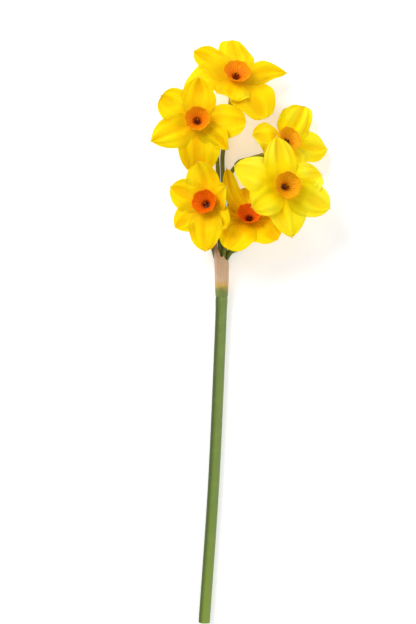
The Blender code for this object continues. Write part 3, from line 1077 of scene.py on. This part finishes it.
class StamenTree(GrownTree):
    """Sets anthers round a style and dusts them with pollen grains."""

    def __init__(self) -> None:
        """Build the tree."""
        lengths = ("Ring Radius", "Length", "Width", "Height", "Grains", "Grain Radius")
        super().__init__("stamens", {
            "Anthers": "NodeSocketInt", "Seed": "NodeSocketInt",
            **{label: "NodeSocketFloat" for label in lengths},
        })

    def _anther(self, build: TreeBuilder, given: bpy.types.Node) -> Socket:
        """Shape one two-lobed anther standing on end, as a stretched ball with a slit.

        Args:
            build: the tree's builder.
            given: the tree's input node.

        Returns:
            The anther.
        """
        ball = build.node("GeometryNodeMeshUVSphere", {"Segments": 12, "Rings": 10, "Radius": 1.0})
        parts = build.node("ShaderNodeSeparateXYZ", {0: build.node("GeometryNodeInputPosition").outputs[0]})
        near_slit = build.times(parts.outputs[1], parts.outputs[1])
        slit = build.math("EXPONENT", build.times(near_slit, -9.0))
        dent = build.minus(1.0, build.times(slit, 0.4))
        bend = build.times(build.times(parts.outputs[2], parts.outputs[2]), -0.7)
        bent = build.plus(build.times(parts.outputs[0], dent), bend)
        shape = build.node("ShaderNodeCombineXYZ", {0: bent, 1: parts.outputs[1], 2: parts.outputs[2]})
        shaped = build.node("GeometryNodeSetPosition", {
            "Geometry": ball.outputs["Mesh"], "Position": shape.outputs[0],
        })
        size = build.node("ShaderNodeCombineXYZ", {
            0: given.outputs["Width"], 1: given.outputs["Width"],
            2: build.times(given.outputs["Length"], 0.5),
        })
        sized = build.node("GeometryNodeTransform", {
            "Geometry": shaped.outputs[0], "Scale": size.outputs[0],
        })
        return sized.outputs[0]

    def _style(self, build: TreeBuilder, given: bpy.types.Node) -> Socket:
        """Shape the style, a thin stalk up the middle that stands above the anthers and ends in a knob.

        Args:
            build: the tree's builder.
            given: the tree's input node.

        Returns:
            The style, marked for its own colour.
        """
        above = build.times(given.outputs["Length"], 0.55)
        end = build.node("ShaderNodeCombineXYZ", {2: build.plus(given.outputs["Height"], above)})
        line = build.node("GeometryNodeCurvePrimitiveLine", {
            "Start": (0.0, 0.0, -0.6 * MM), "End": end.outputs[0],
        })
        section = build.node("GeometryNodeCurvePrimitiveCircle", {"Resolution": 10, "Radius": 0.32 * MM})
        stalk = build.node("GeometryNodeCurveToMesh", {
            "Curve": line.outputs[0], "Profile Curve": section.outputs[0], "Scale": 1.0,
            "Fill Caps": True,
        })
        knob = build.node("GeometryNodeMeshIcoSphere", {"Radius": 0.46 * MM, "Subdivisions": 3})
        raised = build.node("GeometryNodeTransform", {
            "Geometry": knob.outputs["Mesh"], "Translation": end.outputs[0],
        })
        both = build.node("GeometryNodeJoinGeometry")
        self.tree.links.new(raised.outputs[0], both.inputs[0])
        self.tree.links.new(stalk.outputs[0], both.inputs[0])
        mark = build.node("GeometryNodeStoreNamedAttribute", {
            "Geometry": both.outputs[0], "Name": "style", "Value": 1.0,
        }, data_type="FLOAT", domain="POINT")
        return mark.outputs[0]

    def shape(self, build: TreeBuilder, given: bpy.types.Node) -> Socket:
        """Set the anthers on a ring, leaning a little at random, and add the grains and the style.

        Args:
            build: the tree's builder.
            given: the tree's input node.

        Returns:
            The stamens.
        """
        ring = build.node("GeometryNodeMeshCircle", {
            "Vertices": given.outputs["Anthers"], "Radius": given.outputs["Ring Radius"],
        })
        lift = build.node("ShaderNodeCombineXYZ", {2: given.outputs["Height"]})
        raised = build.node("GeometryNodeTransform", {
            "Geometry": ring.outputs[0], "Translation": lift.outputs[0],
        })
        flat = build.node("ShaderNodeVectorMath", {
            0: build.node("GeometryNodeInputPosition").outputs[0], 1: (1.0, 1.0, 0.0),
        }, operation="MULTIPLY")
        outward = build.node("FunctionNodeAlignRotationToVector", {
            "Vector": flat.outputs[0],
        }, axis="X", pivot_axis="Z")
        lean = build.node("FunctionNodeRandomValue", {
            0: (-0.35, -0.1, -0.4), 1: (0.35, 0.45, 0.4), "Seed": given.outputs["Seed"],
        }, data_type="FLOAT_VECTOR")
        leaning = build.node("FunctionNodeEulerToRotation", {0: lean.outputs[0]})
        turned = build.node("FunctionNodeRotateRotation", {
            "Rotation": outward.outputs[0], "Rotate By": leaning.outputs[0],
        }, rotation_space="LOCAL")
        scale = build.node("FunctionNodeRandomValue", {
            2: 0.8, 3: 1.1, "Seed": given.outputs["Seed"],
        }, data_type="FLOAT")
        placed = build.node("GeometryNodeInstanceOnPoints", {
            "Points": raised.outputs[0], "Instance": self._anther(build, given),
            "Rotation": turned.outputs[0], "Scale": scale.outputs[1],
        })
        anthers = build.node("GeometryNodeRealizeInstances", {0: placed.outputs[0]})
        scatter = build.node("GeometryNodeDistributePointsOnFaces", {
            "Mesh": anthers.outputs[0], "Density": given.outputs["Grains"], "Seed": given.outputs["Seed"],
        })
        grain = build.node("GeometryNodeMeshIcoSphere", {
            "Radius": given.outputs["Grain Radius"], "Subdivisions": 1,
        })
        dusted = build.node("GeometryNodeInstanceOnPoints", {
            "Points": scatter.outputs["Points"], "Instance": grain.outputs["Mesh"],
        })
        together = build.node("GeometryNodeJoinGeometry")
        for part in (dusted.outputs[0], anthers.outputs[0], self._style(build, given)):
            self.tree.links.new(part, together.inputs[0])
        return together.outputs[0]

    def grow(self, name: str, seed: int, finish: bpy.types.Material) -> bpy.types.Object:
        """Grow one floret's stamens round the local Z axis.

        Args:
            name: the finished object's name.
            seed: picks the anthers' lean and the grains' places.
            finish: the stamens' material.

        Returns:
            The finished object, still in its own frame.
        """
        carrier = bpy.data.objects.new(name + "_seed", bpy.data.meshes.new(name + "_seed"))
        return self.run(carrier, name, {**STAMEN_SIZES, "Seed": seed, "Finish": finish})


# ---------------------------------------------------------------- sub-assemblies


@dataclass
class Stem:
    """The leafless green stem, from its cut end to the collar under the spathe."""

    length: float = 168.0
    width: float = 5.8
    flatness: float = 0.92
    sway: tuple[float, float] = (-9.0, -1.0)
    bend: float = 27.0
    joint_height: float = 4.1
    collar_width: float = 6.2
    rounding: float = 8.0
    rind: float = 1.3
    hollow_depth: float = 7.0
    ribs: int = 15
    sides: int = 96
    rib_depth: float = 0.012
    step: float = 1.5
    collar_place: float = 1.6  # how far below the joint the collar is widest
    collar_slopes: tuple[float, float] = (0.75, 3.5)  # how long it takes to thin out, above and below
    joint: Vector = field(init=False)

    def __post_init__(self) -> None:
        """Find the umbel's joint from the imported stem: its far end, and its side at the cut end."""
        low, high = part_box("stem")
        across = low[0] / MM - self.sway[0] + self.width / 2
        self.joint = Vector((across, high[1] / MM, 0.0))

    def path(self) -> list[Vector]:
        """Find the stem's axis.

        Returns:
            Its points from the cut end up, in millimetres in the row frame.
        """
        rest = self.width / 2 * self.flatness
        end, bend = self.sway
        route = (
            (end, -self.length, rest),
            ((end + bend) / 2 + 0.8, -(self.length + self.bend) / 2, rest),
            (bend, -self.bend, (rest + self.joint_height) / 2),
            (0, 0, self.joint_height),
        )
        return smooth_path([Vector(p) + self.joint for p in route], self.step)

    def build(self, stalks: StalkTree, finish: bpy.types.Material) -> bpy.types.Object:
        """Sweep the stem, press it slightly flat and swell it at the collar.

        Args:
            stalks: the stalk tree.
            finish: the stem's material.

        Returns:
            The finished stem.
        """
        path = self.path()
        along = distances(path)
        below_joint = along[-1] - along
        from_collar = below_joint - self.collar_place
        above, below = self.collar_slopes
        slope = np.where(from_collar > 0, below, above)
        collar = np.exp(-((from_collar / slope) ** 2)) * (self.collar_width - self.width) / 2
        radii = self.width / 2 + collar
        stem = stalks.grow("stem_fine", path, radii, self.sides, self.ribs, self.rib_depth, finish)
        self._flatten(stem, path)
        self._hollow(stem, path)
        return stem

    def _flatten(self, stem: bpy.types.Object, path: list[Vector]) -> None:
        """Press the section flat about the stem's own axis, less and less towards the joint.

        Args:
            stem: the swept stem.
            path: the stem's axis.
        """
        points = vertex_places(stem.data)
        axis = np.array(path) * MM
        heights = np.interp(points[:, 1], axis[:, 1], axis[:, 2])
        rounder = smooth_step(axis[-1, 1] - self.rounding * MM, axis[-1, 1], points[:, 1])
        squeeze = self.flatness + (1 - self.flatness) * rounder
        points[:, 2] = heights + (points[:, 2] - heights) * squeeze
        points[:, 1] = np.clip(points[:, 1], axis[0, 1], axis[-1, 1])
        move_vertices(stem.data, points)

    def _hollow(self, stem: bpy.types.Object, path: list[Vector]) -> None:
        """Sink the hollow that shows in the cut end, and keep the cut's edges crisp.

        Args:
            stem: the flattened stem.
            path: the stem's axis.
        """
        work = bmesh.new()
        work.from_mesh(stem.data)
        cut = min(work.faces, key=lambda face: face.calc_center_median().y)
        rind = bmesh.ops.inset_region(work, faces=[cut], thickness=self.rind * MM)["faces"]
        for face in rind:
            face.smooth = False
        pith = bmesh.ops.extrude_discrete_faces(work, faces=[cut])["faces"][0]
        inward = (path[1] - path[0]).normalized() * self.hollow_depth * MM
        bmesh.ops.translate(work, verts=pith.verts, vec=inward)
        pith.smooth = False
        work.to_mesh(stem.data)
        work.free()


@dataclass
class Spathe:
    """The papery sleeve round the foot of the umbel, cut low in front, with one pointed flap."""

    stem: Stem
    bore: float = 2.75
    wall: float = 0.28
    rim: float = 17.0
    flap: float = 13.0
    flap_turn: float = 140.0
    flap_spread: float = 24.0
    start: float = 0.5
    around: int = 132
    steps: int = 64

    def middle(self, turn: np.ndarray, along: np.ndarray) -> tuple[np.ndarray, np.ndarray]:
        """The sleeve's middle surface.

        Args:
            turn: place round the sleeve, from 0 to 1, starting at the underside.
            along: place from foot to rim, from 0 to 1.

        Returns:
            The points, and how far each lies above the joint.
        """
        angle = math.tau * turn - math.pi / 2
        from_flap = (np.degrees(angle) - self.flap_turn) / self.flap_spread
        flap = np.exp(-from_flap**2)
        ragged = 0.5 * np.sin(5 * angle + 1) + 0.3 * np.sin(11 * angle) + 0.15 * np.sin(23 * angle + 2)
        top = self.rim + 3 * np.sin(angle) + self.flap * flap + ragged
        y = -self.start + (top + self.start) * along
        swell = 1 + 0.16 * np.sin(math.pi * along) + 0.04 * np.cos(5 * angle) * along
        flare = (0.6 + 1.2 * flap) * along**3
        creases = 0.12 * np.sin(11 * angle + 2.2 * along) * along + 0.05 * np.sin(23 * angle - 3 * along)
        crumple = 0.3 * flap * along**3 * np.sin(14 * along + 3 * angle)
        radius = (self.bore + self.wall / 2) * swell + flare + creases + crumple
        points = np.stack([radius * np.cos(angle), y, self.stem.joint_height + radius * np.sin(angle)], -1)
        return points + np.array(self.stem.joint), y

    def build(self, finish: bpy.types.Material) -> bpy.types.Object:
        """Build the sleeve as a closed thin wall.

        Args:
            finish: the sheath's material.

        Returns:
            The finished sleeve.
        """
        turn, along = np.meshgrid(np.arange(self.around) / self.around, np.linspace(0, 1, self.steps + 1))
        middle, reach = self.middle(turn, along)
        out = middle - np.array(self.stem.joint) - np.array((0, 0, self.stem.joint_height))
        out[..., 1] = 0
        out /= np.linalg.norm(out, axis=2, keepdims=True)
        feather = smooth_step(-0.02, 0.05, along)
        half = (self.wall / 2 * (1 - 0.6 * along**4) * feather)[..., None]
        sides = (middle + out * half, middle - out * half)
        points = np.concatenate([side.reshape(-1, 3) for side in sides])
        spathe = add_mesh("spathe_fine", points, ring_wall(self.around, self.steps))
        for name, values in (("across", turn * 2), ("along", along), ("reach", reach)):
            store_floats(spathe.data, name, np.tile(values.ravel(), 2))
        spathe.data.materials.append(finish)
        return spathe


@dataclass
class Floret:
    """One floret: its flower tube and pedicel, six tepals, cup and stamens."""

    plan: FloretPlan
    stem: Stem
    seed: int
    mouth_radius: float = 1.7
    eye_above_tepals: float = 5.0
    whorl_offset: float = 0.55
    thickness: float = 0.42
    seat_gap: float = 0.3
    sheet_start: float = 3.0
    sheet_reach: float = 25.0
    sheet_lift: tuple[float, float] = (-14.0, 12.0)
    sheet_curve: float = 1.6
    sheet_focus: float = 5.0  # how closely the sheet follows its nearest tepal
    whorl_overlap: float = 7.0  # degrees that a tepal's foot reaches under its neighbours
    widest_spread: float = 62.0
    body_end: float = 0.965  # where the nib starts
    foot_width: float = 0.6
    fullness: float = 3.2  # how far out a tepal stays wide
    nib_width: float = 0.55
    groove_width: float = 0.19
    shoulder_place: float = 0.4
    shoulder_width: float = 0.22
    pleat_pitch: float = 13.0
    ruffle_pitch: float = 11.0
    swell: float = 0.8
    rows: int = 64
    columns: int = 41
    cup_grid: tuple[int, int] = (144, 30)
    cup_wall: float = 0.34
    cup_ribs: int = 36
    rib_height: float = 0.05
    cup_stations: tuple[float, ...] = (0, 0.12, 0.25, 0.42, 0.6, 0.78, 0.92, 1)
    cup_radii: tuple[float, ...] = (1.3, 2.0, 2.7, 3.75, 4.7, 5.45, 5.95, 6.2)
    cup_heights: tuple[float, ...] = (-1.0, 0.45, 1.2, 1.9, 2.8, 3.9, 4.95, 5.45)
    stalk_section: tuple[int, int, float] = (36, 6, 0.035)  # sides, ribs and their depth
    stalk_step: float = 0.8
    ovary_length: float = 7.5
    ovary_swell: float = 0.75
    foot_ring: float = 1.75
    middle: Vector = field(init=False)
    axes: np.ndarray = field(init=False)

    def __post_init__(self) -> None:
        """Work out the floret's middle and its right, upward and facing directions."""
        facing = Vector(self.plan.facing).normalized()
        upward = (Vector((0, 1, 0)) - facing * facing.y).normalized()
        right = upward.cross(facing)
        self.middle = Vector(self.plan.eye) + self.stem.joint - facing * self.eye_above_tepals
        self.axes = np.array((right, upward, facing))

    def place(self, local: np.ndarray) -> np.ndarray:
        """Turn points of the floret's own frame into the row frame, in millimetres."""
        return local @ self.axes + np.array(self.middle)

    # -- tepals

    def sheet(self, x: np.ndarray, y: np.ndarray) -> np.ndarray:
        """Find the height of the smooth sheet that all six tepals follow.

        Args:
            x: places to the right on the floret's face.
            y: places upward on it.

        Returns:
            The heights.
        """
        reach = np.hypot(x, y)
        turn = np.arctan2(y, x)
        total = np.zeros_like(reach)
        weights = np.zeros_like(reach)
        for tepal in self.plan.tepals:
            weight = np.exp(self.sheet_focus * (np.cos(turn - math.radians(tepal.turn)) - 1))
            pull = tepal.lift * (self.sheet_reach / tepal.reach) ** self.sheet_curve
            total += weight * min(max(pull, self.sheet_lift[0]), self.sheet_lift[1])
            weights += weight
        rise = np.maximum(reach - self.sheet_start, 0) / (self.sheet_reach - self.sheet_start)
        return total / weights * rise**self.sheet_curve

    def half_width(self, index: int, along: np.ndarray) -> np.ndarray:
        """Find half a tepal's width, with room for its whorl at the foot and a fine nib at the tip.

        Args:
            index: which tepal.
            along: place from foot to tip, from 0 to 1.

        Returns:
            Half the width at each place.
        """
        tepal = self.plan.tepals[index]
        turns = [other.turn for other in self.plan.tepals]
        gaps = ((turns[(index + 2) % 6] - turns[index]) % 360, (turns[index] - turns[index - 2]) % 360)
        spread = math.radians(min(min(gaps) / 2 + self.whorl_overlap, self.widest_spread))
        inner = np.clip(along / self.body_end, 0, 1)
        foot = self.foot_width + (1 - self.foot_width) * np.sin(math.pi * np.minimum(along, 0.5))
        tip = np.maximum(1 - inner**self.fullness, 0) ** tepal.point
        nib = self.nib_width * np.sqrt(np.maximum(1 - along, 0) / (1 - self.body_end) / 2)
        nib *= smooth_step(0.8, 0.95, along)
        free = np.sqrt((tepal.width / 2 * foot * tip) ** 2 + nib**2) + 1e-4
        outward = self.mouth_radius + (tepal.reach - self.mouth_radius) * along
        room = outward * math.tan(spread)
        return (free**-4 + room**-4) ** -0.25

    def relief(self, index: int, along: np.ndarray, across: np.ndarray) -> np.ndarray:
        """Find a tepal's own folds and ruffles, as heights over its sheet.

        Args:
            index: which tepal.
            along: place from foot to tip, from 0 to 1.
            across: place from side to side, from -1 to 1.

        Returns:
            The heights.
        """
        tepal = self.plan.tepals[index]
        phase = self.seed * 1.7 + index * 2.3
        body = smooth_step(0.04, 0.3, along) * (1 - 0.6 * smooth_step(0.8, 1.0, along))
        outer = smooth_step(0.2, 0.55, along)
        depth = tepal.crease * (0.6 + 0.9 * outer)
        groove = -depth * np.exp(-((across / self.groove_width) ** 2)) * body
        from_shoulder = (np.abs(across) - self.shoulder_place) / self.shoulder_width
        shoulders = 0.6 * depth * np.exp(-(from_shoulder**2)) * body
        pleats = np.cos(across * self.pleat_pitch + np.sin(phase)) * body * (1 - across**4)
        pleats *= tepal.pleat * (0.6 + outer)
        edge = np.abs(across) ** 2.5 * smooth_step(0.2, 0.6, along)
        ruffle = tepal.wave * edge * np.sin(along * self.ruffle_pitch + phase + 1.3 * np.sign(across))
        swell = self.swell * np.sin(along * 6 + phase) * np.cos(across * 2.4 + phase) * outer
        return groove + shoulders + pleats + ruffle + swell

    def tepal_surface(self, index: int, along: np.ndarray, across: np.ndarray) -> np.ndarray:
        """Points of a tepal's middle surface in the floret's frame.

        Args:
            index: which tepal.
            along: place from foot to tip, from 0 to 1.
            across: place from side to side, from -1 to 1.

        Returns:
            The points, in millimetres.
        """
        tepal = self.plan.tepals[index]
        turn = math.radians(tepal.turn)
        outward = self.mouth_radius + (tepal.reach - self.mouth_radius) * along
        outer = smooth_step(0.35, 1.0, along)
        roll = math.radians(tepal.roll) * outer
        half = self.half_width(index, along)
        side = half * across
        bend = tepal.sway * smooth_step(0.4, 1.0, along) + tepal.bow * np.sin(math.pi * along**1.4) ** 2
        flat = side * np.cos(roll) + bend
        x = math.cos(turn) * outward - math.sin(turn) * flat
        y = math.sin(turn) * outward + math.cos(turn) * flat
        tip = self.sheet(np.array([math.cos(turn) * tepal.reach]), np.array([math.sin(turn) * tepal.reach]))
        own = (tepal.lift - tip[0]) * outer
        whorl = self.whorl_offset * (0.2 + 0.7 * smooth_step(0.05, 0.4, along))
        whorl = whorl if index % 2 == 0 else -whorl
        arch = tepal.arch * np.sin(math.pi * smooth_step(0.3, 1.0, along))
        cup = tepal.cup * across**2 * smooth_step(0.3, 0.7, along)
        folds = self.relief(index, along, across) * np.minimum(half / 3.0, 1.0)
        hug = -0.9 * whorl * np.abs(across) ** 3 * (1 - smooth_step(0.5, 0.85, along)) * (index % 2 == 0)
        z = self.sheet(x, y) + whorl + own + side * np.sin(roll) + arch + cup + folds + hug
        return np.stack([x, y, z], -1)

    def build_tepal(self, index: int, finish: bpy.types.Material) -> bpy.types.Object:
        """Build one tepal as a thin closed lens with a fine rim.

        Args:
            index: which tepal.
            finish: the petal material.

        Returns:
            The finished tepal.
        """
        stations = 1 - (1 - np.linspace(0, 1, self.rows)) ** 1.25
        places = np.sin(math.pi / 2 * np.linspace(-1, 1, self.columns))
        along, across = np.meshgrid(stations, places, indexing="ij")
        local = self.tepal_surface(index, along, across)
        thin = self.thickness / 2 * np.sqrt(1.02 - across**2) * (1 - 0.6 * along**3)
        points, faces = two_sided(local, thin)
        tepal = add_mesh(f"petal_{self.plan.name}_{index + 1}", self.place(points), faces)
        folds = self.relief(index, along, across)
        nib = smooth_step(self.body_end - 0.01, 1.0, along)
        # how strongly the crests are painted pale, as painted highlight
        pale = np.full_like(along, self.plan.tepals[index].pale)
        marks = {"along": along, "across": across, "relief": folds, "nib": nib, "pale": pale}
        for name, values in marks.items():
            inner = values[1:-1, 1:-1]
            store_floats(tepal.data, name, np.concatenate([values.ravel(), inner.ravel()]))
        tepal.data.materials.append(finish)
        return tepal

    # -- cup

    def build_corona(self, finish: bpy.types.Material) -> bpy.types.Object:
        """Turn the cup, with its ribs and frilled rim, as one closed wall open down to the tube.

        Args:
            finish: the cup material.

        Returns:
            The finished cup.
        """
        sides, steps = self.cup_grid
        turn, along = np.meshgrid(np.arange(sides) / sides, np.linspace(0, 1, steps + 1))
        angle = math.tau * turn
        radius = np.interp(along, self.cup_stations, self.cup_radii)
        height = np.interp(along, self.cup_stations, self.cup_heights)
        radius = radius * (1 + (self.plan.flare - 1) * smooth_step(0.15, 0.7, along))
        phase = self.seed * 0.9
        frill = smooth_step(0.55, 1.0, along)
        lobes = 0.2 * np.cos(6 * angle + phase) + 0.1 * np.cos(11 * angle + 2 * phase)
        crimps = self.rib_height * np.cos(29 * angle + phase + np.sin(3 * angle))
        ribs = self.rib_height * np.cos(self.cup_ribs * angle) * smooth_step(0.2, 0.5, along)
        radius = radius + frill * (lobes + crimps) + ribs
        height = height + frill * (0.2 * np.cos(11 * angle + 2 * phase + 1.2) + 0.12 * np.cos(5 * angle))
        slope_r = np.gradient(radius, axis=0)
        slope_h = np.gradient(height, axis=0)
        size = np.hypot(slope_r, slope_h)
        half = self.cup_wall / 2 * (1 - 0.5 * along**3)
        sheets = []
        for side in (1, -1):
            r = radius + side * half * slope_h / size
            h = height - side * half * slope_r / size
            sheets.append(np.stack([r * np.cos(angle), r * np.sin(angle), h], -1).reshape(-1, 3))
        points = self.place(np.concatenate(sheets))
        corona = add_mesh(f"cup_{self.plan.name}", points, ring_wall(sides, steps))
        across = np.abs(2 * turn - 1) * 2
        store_floats(corona.data, "along", np.tile(along.ravel(), 2))
        store_floats(corona.data, "across", np.tile(across.ravel(), 2))
        corona.data.materials.append(finish)
        return corona

    # -- stamens

    def build_stamens(self, tree: StamenTree, finish: bpy.types.Material) -> bpy.types.Object:
        """Grow the anthers and style in the throat.

        Args:
            tree: the stamen tree.
            finish: the anther material.

        Returns:
            The finished stamens.
        """
        stamens = tree.grow(f"anthers_{self.plan.name}", self.seed, finish)
        move_vertices(stamens.data, self.place(vertex_places(stamens.data) / MM) * MM)
        return stamens

    # -- tube and pedicel

    def stalk_route(self) -> list[Vector]:
        """Find the way of tube and pedicel.

        Returns:
            Points from the tube's mouth down to the foot on the stem's top, in the row frame.
        """
        facing = Vector(self.axes[2])
        drop = self.whorl_offset + 0.25 + self.seat_gap
        mouth = self.middle - facing * drop
        angle = math.radians(self.plan.foot)
        side, up = self.foot_ring * math.cos(angle), self.foot_ring * math.sin(angle)
        foot = Vector((side, self.seat_gap, self.stem.joint_height + up))
        way = [Vector(p) + self.stem.joint for p in (*self.plan.route, foot)]
        return [mouth, mouth - facing * 1.2, mouth - facing * 6, *way]

    def stalk_radii(self, behind: np.ndarray) -> np.ndarray:
        """Find the radius along the stalk: flare, tube, ovary, neck and pedicel.

        Args:
            behind: distance from the tube's mouth.

        Returns:
            The radius at each distance.
        """
        tube, length, ovary = self.plan.tube, behind[-1], self.ovary_length
        places = (0, 0.6, 1.6, 4, tube / 2, tube - 1, length - 30, length - 18, length - 12, length)
        radii = (3.1, 2.8, 2.2, 1.8, 1.5, 1.25, 1.05, 1.0, 0.8, 0.7)
        stalk = np.interp(behind, places, radii)
        neck = smooth_step(tube + ovary - 2, tube + ovary, behind)
        stalk = stalk * (1 - neck) + np.minimum(stalk, 1.05) * neck
        from_ovary = (behind - tube - ovary / 2) / (ovary * 0.36)
        return stalk + self.ovary_swell * np.exp(-from_ovary**2)

    def build_stalk(self, stalks: StalkTree, finish: bpy.types.Material) -> bpy.types.Object:
        """Sweep the flower tube, ovary and pedicel, which grow as one piece.

        Args:
            stalks: the stalk tree.
            finish: the stalk's material.

        Returns:
            The finished stalk.
        """
        path = smooth_path(self.stalk_route(), self.stalk_step)
        behind = distances(path)
        radii = self.stalk_radii(behind)
        sides, ribs, depth = self.stalk_section
        return stalks.grow(f"stalk_{self.plan.name}", path, radii, sides, ribs, depth, finish)


# ---------------------------------------------------------------- studio


@dataclass
class Studio:
    """A pale floor, soft light and a camera that looks straight down on the stem."""

    stem: Stem
    lens: float = 100.0
    distance: float = 0.867
    aim: Place = (-7.0, -8.0, 28.0)
    sensor: float = 36.0
    light_target: Place = (0.0, 0.06, 0.02)
    light_side: float = 0.8
    lights: tuple[tuple[str, Place, float], ...] = (
        ("key", (-0.8, 0.8, 1.0), 16.0), ("fill", (1.0, 0.1, 0.8), 5.5),
    )
    sky_strength: float = 0.42
    floor_side: float = 8.0
    floor_glow: float = 0.36

    def add_floor(self) -> None:
        """Lay the floor that the stem lies on."""
        bpy.ops.mesh.primitive_plane_add(size=self.floor_side, location=(0, 0, 0))
        floor = bpy.context.object
        floor.name = "floor"
        material, _build, shader = start_material("pale_floor")
        set_inputs(shader, {
            "Base Color": (0.9, 0.9, 0.9, 1), "Emission Color": (1, 1, 1, 1),
            "Emission Strength": self.floor_glow,
            "Roughness": 0.9, "Specular IOR Level": 0.1,
        })
        floor.data.materials.append(material)

    def add_light(self, name: str, place: Place, power: float) -> None:
        """Hang one square soft light aimed at the flowers.

        Args:
            name: the light's name.
            place: where it hangs, in metres.
            power: in watts.
        """
        data = bpy.data.lights.new(name, "AREA")
        data.shape = "SQUARE"
        data.size = self.light_side
        data.energy = power
        light = bpy.data.objects.new(name, data)
        light.location = place
        way = Vector(self.light_target) - Vector(place)
        light.rotation_euler = way.to_track_quat("-Z", "Y").to_euler()
        bpy.context.scene.collection.objects.link(light)

    def add_camera(self) -> None:
        """Set the camera above the stem."""
        data = bpy.data.cameras.new("camera")
        data.lens = self.lens
        data.sensor_fit = "VERTICAL"
        data.sensor_height = self.sensor
        data.clip_start = 0.01
        data.clip_end = 50.0
        camera = bpy.data.objects.new("camera", data)
        aim = (self.stem.joint + Vector(self.aim)) * MM
        camera.location = aim + Vector((0, 0, self.distance))
        bpy.context.scene.collection.objects.link(camera)
        bpy.context.scene.camera = camera

    def build(self) -> None:
        """Set up floor, lights, sky and camera."""
        self.add_camera()
        self.add_floor()
        for name, place, power in self.lights:
            self.add_light(name, place, power)
        world = bpy.data.worlds.new("soft_sky")
        world.use_nodes = True
        sky = world.node_tree.nodes["Background"]
        set_inputs(sky, {"Color": (1.0, 1.0, 1.0, 1), "Strength": self.sky_strength})
        bpy.context.scene.world = world
        bpy.context.scene.view_settings.view_transform = "Standard"


# ---------------------------------------------------------------- assembly


def settle(piece: bpy.types.Object, slot: str, *nodes: str) -> None:
    """Let a finished piece ride with the model and stand for its nodes.

    Args:
        piece: the finished piece.
        slot: the name of its finish; not used.
        nodes: the model's nodes that it stands for.
    """
    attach(piece, "root")
    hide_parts(*nodes)
    LOG.info("%s: %d faces, stands for %s", piece.name, len(piece.data.polygons), ", ".join(nodes))


def main() -> None:
    """Build the studio, then every piece in order, and log each piece's face count."""
    logging.basicConfig(level=logging.INFO, format="%(message)s")
    effects = Effects()
    stalks = StalkTree()
    stamens = StamenTree()
    stem = Stem()
    Studio(stem).build()
    settle(stem.build(stalks, STEM_FINISH.make(effects)), "stem_green", "stem")
    settle(Spathe(stem).build(SPATHE_FINISH.make(effects)), "papery_spathe", "spathe")
    golden, lemon = GOLDEN_PETAL.make(effects), LEMON_PETAL.make(effects)
    dress = {
        Tint.GOLDEN: (golden, "tepal_yellow", DEEP_CUP.make(effects), "corona_orange"),
        Tint.APRICOT: (golden, "tepal_yellow", LIGHT_CUP.make(effects), "corona_apricot"),
        Tint.LEMON: (lemon, "tepal_lemon", AMBER_CUP.make(effects), "corona_amber"),
    }
    green = PEDICEL_FINISH.make(effects)
    pollen = ANTHER_FINISH.make(effects)
    for seed, plan in enumerate(FLORETS, start=1):
        floret = Floret(plan, stem, seed)
        petal, petal_slot, cup, cup_slot = dress[plan.tint]
        settle(floret.build_stalk(stalks, green), "pedicel_olive", f"pedicel_{plan.name}")
        for index in range(len(plan.tepals)):
            settle(floret.build_tepal(index, petal), petal_slot, f"tepal_{plan.name}_{index + 1}")
        settle(floret.build_corona(cup), cup_slot, f"corona_{plan.name}")
        settle(floret.build_stamens(stamens, pollen), "stamens", f"stamens_{plan.name}")


if __name__ == "__main__":
    main()
